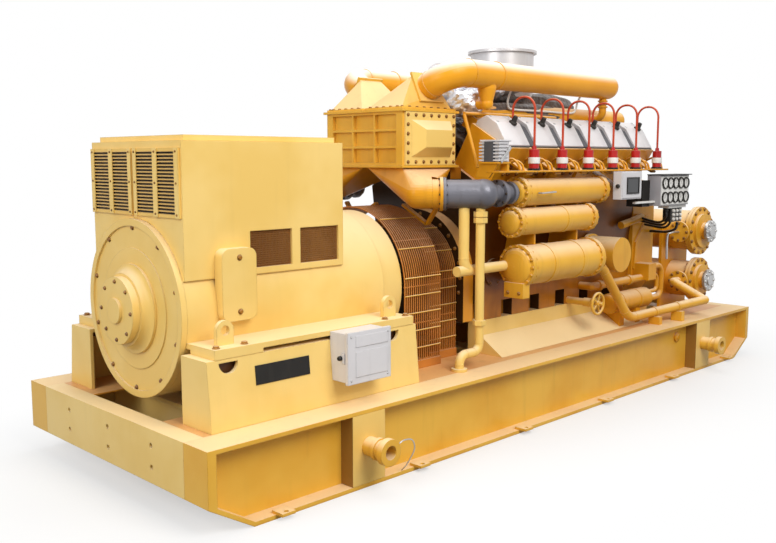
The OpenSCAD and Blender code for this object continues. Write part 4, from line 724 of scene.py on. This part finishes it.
def waterCoolerBolts():
    ends, blank, nozzle = boltRows["waterEnd"], boltRows["blank"], boltRows["nozzle"]
    low, high = corners("cooler_blanks")
    x, shapes, bare = (low[0] + high[0]) / 2, [], []
    for z, rim in zip((low[2] + blank["radius"], high[2] - blank["radius"]), ends["rims"]):
        bare.append(boltRing("blank", (x, low[1] + blank["sunk"], z), near, blank["radius"]))
        y, nozzleX = low[1] + ends["sunk"], x - rim - nozzle["out"]
        for side, way in ((0, -1), (1, 1)):
            shapes.append(boltRing("waterEnd", (x, y + side * ends["flange"], z), (0, way, 0), rim))
        for side, way in ((0, -1), (1, 1)):
            face = (nozzleX + side * nozzle["flange"], nozzle["y"], z)
            shapes.append(boltRing("nozzle", face, (way, 0, 0), nozzle["radius"]))
    addPair("waterCoolerBolts", shapes, "boltShadedPaint")
    addPair("coolerBlankBolts", bare, "bareMetal")


def mixerBolts():
    # rings of bolts on both faces of the joint between horn and mixer, which leans to the side
    spec = boltRows["mixer"]
    along = np.array([math.sqrt(0.5), -math.sqrt(0.5), 0])
    mouth = np.array(spec["mouth"])
    rings = []
    for axis in (-along, along):
        rings.append((ringPlaces(mouth + axis * spec["deep"], axis, spec["ring"], spec["count"]), axis))
    rings.append((ringPlaces(spec["disc"], left, spec["discRing"], spec["discCount"]), left))
    addPiece("mixerBolts", mirrored(joined([hexBolts(spec["size"], *ring) for ring in rings])), "darkSteel")


def crankcaseBolts():
    door, spec = boltRows["door"], boltRows["housing"]
    shapes = [boltRing("door", (x, door["y"], door["z"]), near, door["radius"]) for x in cylinderX()]
    addPair("crankcaseDoorBolts", shapes, "boltShadedPaint")
    low, high = corners("flywheel_housing")
    ring = ringPlaces((low[0], 0, shaftZ), left, high[1] - spec["inset"], spec["count"])
    ring = ring[ring[:, 2] > shaftZ - spec["below"]]
    addPiece("housingBolts", hexBolts(spec["size"], ring, left), "boltShadedPaint")


endPlateBolts()
coverBolts()
vesselBolts()
waterCoolerBolts()
mixerBolts()
crankcaseBolts()
print("bolts placed")


# Gauge panel: two rows of dials in black bezels, a visor over them and plugs below; metres, and shares of the
# rim, radius and depth for the bezel, ticks and needle
gauge = {"rows": 2, "columns": 5, "radius": 0.033, "rim": 0.007, "deep": 0.016, "sides": 28, "edgeX": 0.052,
         "low": 0.057, "rise": 0.098, "bezel": [(1.0, 0), (1.0, 0.7), (0.5, 1.0), (0, 0.9), (0, 0.4)],
         "dial": (0.30, 0.42), "ticks": 9, "sweep": 0.75 * math.pi, "tickHalf": 0.0008, "tickR": (0.72, 0.92),
         "tickT": 0.0006, "needleHalf": 0.0012, "needleR": (-0.25, 0.70), "needleZ": (0.46, 0.52),
         "faceIn": 0.006, "faceT": 0.003, "visorSide": 0.004, "visorY": (-0.022, 0.102), "visorT": 0.006,
         "plugs": 5, "plug": [(0.012, 0), (0.012, 0.030), (0.017, 0.032), (0.017, 0.045)],
         "plugX": (0.18, -0.03), "plugIn": 0.05, "plugSides": 12}


def spun(shape, a):
    # the shape turned about Z: x cos a + y sin a, y cos a - x sin a
    (x, y, z), faces = shape[0].T, shape[1]
    return np.stack([x * math.cos(a) + y * math.sin(a), y * math.cos(a) - x * math.sin(a), z], -1), faces


def gaugePanel():
    spec = gauge
    low, high = corners("gauge_panel")
    across = np.linspace(low[0] + spec["edgeX"], high[0] - spec["edgeX"], spec["columns"])
    gx, gz = np.meshgrid(across, low[2] + spec["low"] + spec["rise"] * np.arange(spec["rows"]), indexing="ij")
    centres = np.stack([gx.ravel(), np.full(gx.size, low[1]), gz.ravel()], -1)
    r, deep, floor = spec["radius"], spec["deep"], spec["dial"][1] * spec["deep"]
    # a bezel ring: outer wall, rounded lip, inner wall down to the dial
    ring = revolved([(r + spec["rim"] * out, deep * height) for out, height in spec["bezel"]], spec["sides"])
    dial = revolved([(r, deep * height) for height in spec["dial"]], spec["sides"])
    addPiece("gaugeBezels", placed(ring, centres, near), "blackPlate")
    addPiece("gaugeDials", placed(dial, centres, near), "dialWhite")
    # ticks: small bars on an arc, and one needle to each dial
    (r0, r1), half = spec["tickR"], spec["tickHalf"]
    tick = block((-half, r0 * r, floor), (half, r1 * r, floor + spec["tickT"]))
    marks = [spun(tick, a) for a in np.linspace(-spec["sweep"], spec["sweep"], spec["ticks"])]
    (r0, r1), (z0, z1), half = spec["needleR"], spec["needleZ"], spec["needleHalf"]
    marks.append(block((-half, r0 * r, deep * z0), (half, r1 * r, deep * z1)))
    addPiece("gaugeMarks", placed(joined(marks), centres, near), "blackPlate")
    edge, side, (y0, y1) = spec["faceIn"], spec["visorSide"], spec["visorY"]
    face = block((low[0] + edge, low[1] - spec["faceT"], low[2] + edge),
                 (high[0] - edge, low[1], high[2] - edge))
    addPiece("gaugeFace", face, "dialWhite")
    visor = block((low[0] - side, low[1] + y0, high[2]),
                  (high[0] + side, low[1] + y1, high[2] + spec["visorT"]))
    y, (x0, x1) = low[1] + spec["plugIn"], spec["plugX"]
    places = rowPlaces((low[0] + x0, y, low[2]), (high[0] + x1, y, low[2]), spec["plugs"])
    plugs = placed(revolved(spec["plug"], spec["plugSides"]), places, down)
    addPiece("gaugeVisor", joined([visor, plugs]), "blackPlate")


# Panel hoses: from the plugs to the gear case, each a step further along and lower; metres
hose = {"count": 3, "first": 0.18, "step": 0.048, "in": 0.05, "below": 0.042, "drop": 0.04, "endStep": 0.05,
        "endGap": 0.002, "endLow": (0.10, 0.03), "bow": (0.02, -0.05), "sag": (0.13, 0.02), "radius": 0.009,
        "points": 24}


def hoses():
    spec, runs = hose, []
    panel, gear = corners("gauge_panel")[0], corners("gear_case")[0]
    for i in range(spec["count"]):
        start = panel + [spec["first"] + spec["step"] * i, spec["in"], -spec["below"]]
        end = np.array([gear[0] + spec["endStep"] * (1 + i), gear[1] - spec["endGap"],
                        panel[2] - spec["endLow"][0] - spec["endLow"][1] * i])
        middle = (start + end) / 2 + [*spec["bow"], 0]
        middle[2] = panel[2] - spec["sag"][0] - spec["sag"][1] * i
        path = smoothPath([start, start - [0, 0, spec["drop"]], middle, end], spec["points"])
        runs.append(tube(path, spec["radius"]))
    addPiece("panelHoses", joined(runs), "rubber")


# Controller box: a plain door with a dark window in a rim, and a lock on its side; metres
controller = {"wide": 0.250, "low": 1.300, "high": 1.480, "edge": 0.008, "doorT": 0.006,
              "paneX": (0.064, 0.199), "paneZ": (0.043, 0.1345), "paneOut": (0.010, 0.004),
              "rimOut": (0.013, 0.005), "rimW": 0.008, "lockIn": 0.023, "lockUp": 0.085, "lockSides": 16,
              "lock": [(0.014, 0), (0.014, 0.010), (0.009, 0.016)]}


def controllerBox():
    spec = controller
    x, front = corners("controller_box")[0][:2]
    edge, rim = spec["edge"], spec["rimW"]
    door = block((x + edge, front - spec["doorT"], spec["low"] + edge),
                 (x + spec["wide"] - edge, front, spec["high"] - edge))
    addPiece("controllerDoor", door, "paleBox")
    x0, x1 = (x + out for out in spec["paneX"])
    z0, z1 = (spec["low"] + out for out in spec["paneZ"])
    y0, y1 = (front - out for out in spec["paneOut"])
    addPiece("controllerWindow", block((x0, y0, z0), (x1, y1, z1)), "darkGlass")
    y0, y1 = (front - out for out in spec["rimOut"])
    sides = [((x0 - rim, z0 - rim), (x1 + rim, z0)), ((x0 - rim, z1), (x1 + rim, z1 + rim)),
             ((x0 - rim, z0), (x0, z1)), ((x1, z0), (x1 + rim, z1))]
    frames = [block((a[0], y0, a[1]), (b[0], y1, b[1])) for a, b in sides]
    addPiece("controllerWindowRim", joined(frames), "blackPlate")
    lock = [(x, front + spec["lockIn"], spec["low"] + spec["lockUp"])]
    addPiece("controllerLock", placed(revolved(spec["lock"], spec["lockSides"]), lock, left), "blackPlate")


# Control box: screws, two bare raised panels and a lock on its side; metres, and shares of its height
boxFront = {"screwX": 0.022, "screwZ": 0.02, "screw": [(0.006, 0), (0.005, 0.004)], "screwSides": 10,
            "panelX": (0.05, -0.02), "panels": ((0.12, 0.62), (0.70, 0.92)), "panelT": 0.002, "lockIn": 0.05,
            "lockSides": 16, "lock": [(0.012, 0), (0.012, 0.012), (0.008, 0.018)]}


def controlBox():
    spec = boxFront
    low, high = corners("control_box")
    y, dx, dz, tall = low[1], spec["screwX"], spec["screwZ"], high[2] - low[2]
    screws = [(x, y, z) for x in (low[0] + dx, high[0] - dx) for z in (low[2] + dz, high[2] - dz)]
    addPiece("controlBoxScrews", placed(revolved(spec["screw"], spec["screwSides"]), screws, near),
             "bareMetal")
    x0, x1 = low[0] + spec["panelX"][0], high[0] + spec["panelX"][1]
    panels = [block((x0, y - spec["panelT"], low[2] + a * tall), (x1, y, low[2] + b * tall))
              for a, b in spec["panels"]]
    addPiece("controlBoxPanel", joined(panels), "paleBox")
    lock = [(low[0], y + spec["lockIn"], (low[2] + high[2]) / 2)]
    addPiece("controlBoxLock", placed(revolved(spec["lock"], spec["lockSides"]), lock, left), "blackPlate")


# Coils: pale bands just proud of the moulded ones, dark feet and red caps; metres
coil = {"radius": 0.034, "y": -0.690,
        "coilBands": ("dialWhite", 24, [(0.0345, 0.040), (0.0347, 0.042), (0.0347, 0.074), (0.0345, 0.076)]),
        "coilFeet": ("blackPlate", 24, [(0.036, 0.0), (0.036, 0.012)]),
        "coilCaps": ("coilRed", 18, [(0.0304, 0.112), (0.0300, 0.122), (0.0140, 0.124), (0.0125, 0.143)])}


def coilBands():
    low = corners("ignition_coils")[0]
    centres = [(low[0] + coil["radius"] + bank["pitch"] * i, coil["y"], low[2])
               for i in range(bank["cylinders"])]
    for name in ("coilBands", "coilFeet", "coilCaps"):
        material, sides, profile = coil[name]
        addPiece(name, mirrored(placed(revolved(profile, sides), centres, up)), material)


# Ignition modules: finned pale boxes with a dark panel towards the generator, on brackets; metres
module = {"x": (-0.565, -0.463), "y": (-0.735, -0.594), "z": (1.543, 1.656), "fins": 6, "finDeep": 0.016,
          "finShare": 0.5, "panelW": 0.062, "lid": 0.010, "shelf": 0.010, "plateX": (-0.558, -0.548),
          "plateLow": (-0.661, -0.558, 1.454), "plateHigh": (-0.727, -0.596, 1.533), "postX": 0.020,
          "postY": (0.004, 0.050), "postZ": 1.492, "strapOut": 0.004, "strapLow": 0.030, "strapW": 0.018,
          "strapT": 0.005, "strapPoints": 4, "strapAcross": (0.6, 0, -0.8)}


def ignitionModules():
    spec = module
    (x0, x1), (y0, y1), (z0, z1) = spec["x"], spec["y"], spec["z"]
    deep, pitch = spec["finDeep"], (z1 - z0) / spec["fins"]
    shapes = [block((x0 + deep, y0 + deep / 2, z0), (x1, y1 - deep / 2, z1)),
              block((x0 + deep / 2, y0, z1), (x1 + spec["lid"], y1, z1 + spec["lid"]))]
    for i in range(spec["fins"]):
        z = z0 + (i + (1 - spec["finShare"]) / 2) * pitch
        shapes.append(block((x0, y0, z), (x1 - deep, y1, z + spec["finShare"] * pitch)))
    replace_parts(addPair("ignitionModules", shapes, "paleBox"), "ignition_module")
    middle, half = (y0 + y1) / 2, spec["panelW"] / 2
    panel = block((x0 - deep / 4, middle - half, z0), (x0 + deep, middle + half, z1))
    addPair("ignitionPanels", [panel], "panelDark", "grey_casting")
    shelf = block((x0 - spec["shelf"], y0, z0 - spec["shelf"]), (x1 + spec["shelf"], y1, z0))
    # a plate below the shelf that narrows as it leans in to the rail's end
    (x, y, rise), faces = block((spec["plateX"][0], 0, 0), (spec["plateX"][1], 1, 1))[0].T, shelf[1]
    (a0, a1, low), (b0, b1, high) = spec["plateLow"], spec["plateHigh"]
    y = y * ((a1 - a0) * (1 - rise) + (b1 - b0) * rise) + a0 * (1 - rise) + b0 * rise
    plate = np.stack([x, y, low + (high - low) * rise], -1), faces
    post = block((x1 - spec["postX"], y0 + spec["postY"][0], spec["postZ"]),
                 (x1, y0 + spec["postY"][1], z0 - spec["shelf"]))
    addPiece("moduleShelves", mirrored(joined([shelf, plate, post])), "enamelDeep")
    side = y0 - spec["strapOut"]
    line = rowPlaces((x0 + deep, side, z0), (x1, side, z1 - spec["strapLow"]), spec["strapPoints"])
    strap = ribbon(line, spec["strapAcross"], spec["strapW"], spec["strapT"])
    addPair("moduleStraps", [strap], "bareMetal")


# A dark boot on each valve cover, where the lead goes in, and four cover screws; bank metres
boot = {"top": 1.058, "ahead": 0.045, "screwX": (-0.085, 0.085), "screwY": (0.015, 0.08), "screwSize": 0.008,
        "sides": 16, "form": [(0.026, 0), (0.026, 0.010), (0.017, 0.016), (0.014, 0.046), (0.010, 0.050)]}


def plugBoots():
    lean = math.radians(bank["lean"])
    rise = np.array([0, -math.sin(lean), math.cos(lean)])
    side = np.array([0, math.cos(lean), math.sin(lean)])
    tops = [np.array([x, 0, shaftZ]) + boot["top"] * rise for x in cylinderX()]
    boots = [top + [boot["ahead"], 0, 0] for top in tops]
    addPiece("plugBoots", mirrored(placed(revolved(boot["form"], boot["sides"]), boots, rise)), "blackPlate")
    places = [top + [dx, 0, 0] + dy * side for top in tops for dx in boot["screwX"] for dy in boot["screwY"]]
    addPiece("coverScrews", mirrored(hexBolts(boot["screwSize"], places, rise)), "bareMetal")


# Straight wires tied round the guards, following each arch: radius to each guard; metres, radians
ties = {"tall_guard": 0.4345, "low_guard": 0.3455, "rows": 5, "from": 0.12, "to": 0.05, "angles": (0.5, 1.0),
        "out": 0.003, "radius": 0.004, "sides": 6}


def guardWires():
    shapes = []
    for name in ("tall_guard", "low_guard"):
        low, high = corners(name)
        r = ties[name] + ties["out"]
        lines = [(-r, z) for z in np.linspace(low[2] + ties["from"], shaftZ + ties["to"], ties["rows"])]
        lines += [(-r * math.cos(a), shaftZ + r * math.sin(a)) for a in ties["angles"]]
        shapes += [tube([(low[0], y, z), (high[0], y, z)], ties["radius"], ties["sides"]) for y, z in lines]
    addPair("guardTies", shapes, "enamel")


# Wrapped pipes under the charge pipe, metres: start, end and radius of each, and the folds of them all
wraps = {"foil": [((-0.300, -0.150, 1.890), (-0.300, -0.375, 1.890), 0.076)],
         "lagging": [((0.120, -0.140, 1.925), (1.000, -0.140, 1.925), 0.072),
                     ((-0.270, -0.264, 1.840), (0.720, -0.264, 1.840), 0.072)],
         "rows": 40, "sides": 36, "ends": (0.3, 0.3), "folds": ((3, 4, 0.09), (5, -9, 0.06), (11, 13, 0.035))}


def wrapped(start, end, radius):
    # r = R (1 + sum of sines of angle and length), drawn in at both ends, carried from start to end
    t = np.linspace(0, 1, wraps["rows"])[:, None]
    a = np.arange(wraps["sides"])[None] * 2 * math.pi / wraps["sides"]
    r = radius * (1 + sum(size * np.sin(n * a + m * t) for n, m, size in wraps["folds"]))
    share, power = wraps["ends"]
    r = r * (share + (1 - share) * np.sin(math.pi * t) ** power)
    start, end = np.array(start), np.array(end)
    turn = turned([end - start])[0]
    axis = start + t[..., None] * (end - start)
    points = axis + r[..., None] * (np.cos(a)[..., None] * turn[:, 0] + np.sin(a)[..., None] * turn[:, 1])
    return points.reshape(-1, 3), ringFaces(wraps["rows"], wraps["sides"])


def pipeWraps():
    for material in ("foil", "lagging"):
        addPiece(material + "Wraps", mirrored(joined([wrapped(*run) for run in wraps[material]])), material)


# Thin runs: look, radius, points, and the slot where it isn't the look's own; metres
thinRuns = {
    "conduitBar": ("enamelDeep", 0.011, [(-0.450, -0.385, 1.824), (0.468, -0.385, 1.826)]),
    "coolerStrut": ("enamelDeep", 0.010, [(-0.450, -0.385, 1.820), (-0.450, -0.492, 1.510)]),
    "drainPipe": ("dialWhite", 0.007, [(0.018, -0.372, 1.990), (0.018, -0.345, 1.935), (0.022, -0.340, 1.895),
                                       (0.073, -0.340, 1.869), (0.390, -0.340, 1.869), (0.708, -0.340, 1.869),
                                       (0.770, -0.340, 1.895), (0.781, -0.345, 1.940),
                                       (0.781, -0.372, 1.990)], "silver_paint"),
    "panelHose": ("rubber", 0.010, [(1.500, -0.740, 1.110), (1.500, -0.725, 1.060), (1.560, -0.620, 1.030),
                                    (1.610, -0.500, 1.025), (1.630, -0.455, 1.022)]),
    "coolerRod": ("bareMetal", 0.008, [(1.950, -0.530, 1.003), (1.840, -0.520, 1.003), (1.820, -0.500, 0.970),
                                       (1.820, -0.500, 0.800)]),
    "oilPipe": ("enamelDeep", 0.028,
                [(1.170, -0.480, 1.090), (1.310, -0.488, 1.114), (1.450, -0.484, 1.138)]),
}
thinMesh = {"perPoint": 12, "sides": 10}


def thinPipes():
    for name, (material, radius, points, *slot) in thinRuns.items():
        path = smoothPath(points, thinMesh["perPoint"] * len(points)) if len(points) > 2 else points
        addPiece(name, tube(path, radius, thinMesh["sides"]), material, *slot)


# Small boxes on the operator's side: look, low corner and high corner; metres
sideBoxes = {
    "panelColumn": ("blackPlate", (1.030, -0.720, 1.235), (1.130, -0.600, 1.415)),
    "terminalBar": ("dialWhite", (1.290, -0.780, 1.218), (1.540, -0.700, 1.240)),
    "terminalBlock": ("blackPlate", (1.340, -0.770, 1.120), (1.500, -0.710, 1.218)),
    "boxStrip": ("dialWhite", (0.870, -0.760, 1.262), (1.130, -0.740, 1.276)),
}
terminal = {"across": 3, "up": 3, "inX": 0.03, "inZ": 0.02, "sides": 10,
            "form": [(0.011, 0), (0.011, 0.012), (0.006, 0.016)]}


def smallBoxes():
    for name, (material, low, high) in sideBoxes.items():
        addPiece(name, block(low, high), material)
    low, high = sideBoxes["terminalBlock"][1:]
    x, z = np.meshgrid(np.linspace(low[0] + terminal["inX"], high[0] - terminal["inX"], terminal["across"]),
                       np.linspace(low[2] + terminal["inZ"], high[2] - terminal["inZ"], terminal["up"]))
    dots = np.stack([x.ravel(), np.full(x.size, low[1]), z.ravel()], -1)
    addPiece("terminalEnds", placed(revolved(terminal["form"], terminal["sides"]), dots, near), "dialWhite")


# Valve covers: sloped lids with dark bars between them for painted shade, and a dark joint under their lower
# edge; bank metres
coverForm = {"round": 0.006, "drawIn": 0.048, "jointT": 0.006, "barHalf": 0.034,
             "lid": [(-0.136, 0.975), (-0.136, 0.989), (-0.006, 1.060), (0.091, 1.060), (0.136, 1.005),
                     (0.136, 0.975)],
             "bar": [(-0.132, 0.972), (-0.132, 0.982), (-0.006, 1.040), (0.091, 1.040), (0.128, 0.990),
                     (0.128, 0.972)]}


def onBank(shape):
    # bank x, y, z turned by the lean about the shaft: y cos - z sin, y sin + z cos
    lean = math.radians(bank["lean"])
    (x, y, z), faces = shape[0].T, shape[1]
    turnedZ = y * math.sin(lean) + z * math.cos(lean) + shaftZ
    return np.stack([x, y * math.cos(lean) - z * math.sin(lean), turnedZ], -1), faces


def prism(profile, x0, x1):
    # a closed profile of y, z carried from x0 to x1 and drawn in a little at both ends
    profile = np.array(profile)[::-1]
    middle, end, inset = profile.mean(axis=0), 1 - coverForm["drawIn"], coverForm["round"]
    rows = [(x0, end), (x0 + inset, 1.0), (x1 - inset, 1.0), (x1, end)]
    points = [np.column_stack([np.full(len(profile), x), middle + (profile - middle) * share])
              for x, share in rows]
    return np.concatenate(points), [f[::-1] for f in ringFaces(len(rows), len(profile))]


def valveCovers():
    spec, xs, half = coverForm, cylinderX(), bank["half"]
    lids = [prism(spec["lid"], x - half, x + half) for x in xs]
    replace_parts(addPiece("valveLids", mirrored(onBank(joined(lids))), "silver"), "valve_covers")
    bars = [prism(spec["bar"], x - spec["barHalf"], x + spec["barHalf"]) for x in (xs[1:] + xs[:-1]) / 2]
    addPiece("coverBars", mirrored(onBank(joined(bars))), "panelDark", "dark_steel")
    (side, foot), t = spec["lid"][0], spec["jointT"]
    lips = [block((x - half, side - t, foot - t), (x + half, side + t, foot + t)) for x in xs]
    addPiece("coverLips", mirrored(onBank(joined(lips))), "rubber")


# Fittings along the heads: small bent pipes, each bowed higher, and nuts under each coil; metres
fitting = {"pipes": (-0.070, -0.105, 0.110), "bow": 0.012, "radius": 0.007, "points": 14,
           "bowed": [(0, -0.560, 1.522), (0, -0.640, 1.548)],
           "end": [(0.02, -0.672, 1.530), (0.03, -0.680, 1.492)], "nuts": (-0.040, 0.000, 0.085),
           "nutS": (0.800, 0.845), "nutSize": 0.011, "headSide": -0.150}


def headFittings():
    spec, xs, runs = fitting, cylinderX(), []
    for x in xs:
        for i, dx in enumerate(spec["pipes"]):
            points = [(px, y, z + spec["bow"] * i) for px, y, z in spec["bowed"]] + spec["end"]
            runs.append(tube(smoothPath(np.array(points) + [x + dx, 0, 0], spec["points"]), spec["radius"]))
    addPair("headPipes", runs, "enamelDeep")
    nuts = [(x + dx, spec["headSide"], s) for x in xs for dx in spec["nuts"] for s in spec["nutS"]]
    addPiece("headNuts", mirrored(onBank(hexBolts(spec["nutSize"], nuts, near))), "boltShadedPaint")


# Louvre strips: plates over the slots' ends, with small bolts, given for one half; metres
strips = {"x": (-2.388, -2.384), "y": ((0.010, 0.040), (0.186, 0.224), (0.368, 0.400)), "z": (1.296, 1.608),
          "boltZ": (1.312, 1.452, 1.592), "boltSize": 0.0045}


def louvreStrips():
    (x0, x1), (z0, z1) = strips["x"], strips["z"]
    plates = [block((x0, -b, z0), (x1, -a, z1)) for a, b in strips["y"]]
    addPair("louvreStrips", plates, "enamelPaintedLit")
    bolts = [(x0, -(a + b) / 2, z) for a, b in strips["y"] for z in strips["boltZ"]]
    addPiece("louvreBolts", mirrored(hexBolts(strips["boltSize"], bolts, left)), "boltShadedPaint")


# Hood screens: fine wire before a dark backing as painted shade, two windows to a side; metres
screen = {"x": (-2.014, -1.764), "next": 0.302, "z": (1.048, 1.223), "back": (-0.392, -0.388), "columns": 30,
          "rows": 18, "wireY": (-0.3975, -0.3915), "wire": 0.0016}


def hoodScreens():
    (x0, x1), (z0, z1) = screen["x"], screen["z"]
    t, (y0, y1) = screen["wire"], screen["wireY"]
    wires = [block((x0, y0, z - t), (x1, y1, z + t)) for z in np.linspace(z0, z1, screen["rows"])]
    wires += [block((x - t, y0, z0), (x + t, y1, z1)) for x in np.linspace(x0, x1, screen["columns"])]
    back = block((x0, screen["back"][0], z0), (x1, screen["back"][1], z1))
    step = np.array([screen["next"], 0, 0])
    pair = [joined([(points, faces), (points + step, faces)]) for points, faces in (joined(wires), back)]
    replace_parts(addPiece("hoodScreenWires", mirrored(pair[0]), "grille"), "hood_screens")
    addPiece("hoodScreenBacks", mirrored(pair[1]), "grilleShade", "grille")


# Generator trim: bolts on the terminal covers and feet, a plug on each beam's web, dark plates as painted
# shade behind the pedestal's notches; metres
trim = {"coverX": -2.121, "coverZ": (0.862, 1.112), "coverSize": 0.011, "footY": -0.600, "footTop": 0.740,
        "footX": (-2.345, -2.195, -1.315, -1.165), "footSize": 0.014, "plug": (1.520, -0.757, 0.270),
        "plugBolt": 0.0216, "plugSides": 20, "plugForm": [(0.036, 0), (0.036, 0.012), (0.0288, 0.016)],
        "notchX": (-2.305, -1.297), "notchHalf": 0.056, "notchY": (-0.600, -0.596), "notchZ": (0.622, 0.680)}


def generatorTrim():
    places = [(trim["coverX"], corners("terminal_covers")[0][1], z) for z in trim["coverZ"]]
    nuts = [(x, trim["footY"], trim["footTop"]) for x in trim["footX"]]
    addPiece("terminalCoverBolts", mirrored(hexBolts(trim["coverSize"], places, near)), "boltShadedPaint")
    addPiece("generatorFootNuts", mirrored(hexBolts(trim["footSize"], nuts, up)), "boltShadedPaint")
    plug = joined([revolved(trim["plugForm"], trim["plugSides"]), hexBolt(trim["plugBolt"])])
    addPiece("webPlugs", mirrored(placed(plug, [trim["plug"]], near)), "enamelDeep")
    (y0, y1), (z0, z1), half = trim["notchY"], trim["notchZ"], trim["notchHalf"]
    backs = [block((x - half, y0, z0), (x + half, y1, z1)) for x in trim["notchX"]]
    addPair("notchBacks", backs, "grilleShade")


# Small iron: the oil cooler's foot, a wire at the first port, a handle and straps; metres
iron = {"footLow": (-0.300, -0.720, 0.745), "footHigh": (-0.235, -0.580, 0.835), "boltY": (-0.690, -0.610),
        "boltZ": 0.775, "boltSize": 0.009, "wireRadius": 0.0035, "wirePoints": 40, "wireSides": 6,
        "handleRadius": 0.005, "strapW": 0.03, "strapT": 0.016, "strapPoints": 4,
        "wire": [(-1.600, -0.975, 0.225), (-1.560, -0.980, 0.240), (-1.500, -0.975, 0.225),
                 (-1.455, -0.945, 0.160), (-1.430, -0.870, 0.060), (-1.425, -0.832, 0.022)],
        "handle": [(-0.190, -0.738, 1.362), (-0.190, -0.762, 1.362), (-0.050, -0.762, 1.366),
                   (-0.050, -0.738, 1.366)],
        "strap": [(-0.680, -0.115, 1.290), (-0.680, -0.308, 1.183), (-0.680, -0.388, 1.290)]}


def smallIron():
    addPiece("oilCoolerFoot", block(iron["footLow"], iron["footHigh"]), "vesselPaint")
    bolts = [(iron["footLow"][0], y, iron["boltZ"]) for y in iron["boltY"]]
    addPiece("oilCoolerFootBolts", hexBolts(iron["boltSize"], bolts, left), "boltShadedPaint")
    path = smoothPath(iron["wire"], iron["wirePoints"])
    addPiece("portWire", tube(path, iron["wireRadius"], iron["wireSides"]), "bareMetal")
    addPiece("vesselHandle", tube(iron["handle"], iron["handleRadius"]), "bareMetal")
    legs = [ribbon(rowPlaces(a, b, iron["strapPoints"]), ahead, iron["strapW"], iron["strapT"])
            for a, b in zip(iron["strap"][:-1], iron["strap"][1:])]
    addPair("hornStraps", legs, "enamelDeep")


gaugePanel()
hoses()
controllerBox()
controlBox()
coilBands()
ignitionModules()
plugBoots()
guardWires()
pipeWraps()
thinPipes()
smallBoxes()
valveCovers()
headFittings()
louvreStrips()
hoodScreens()
generatorTrim()
smallIron()
print("boxes, gauges, coils and trim dressed")
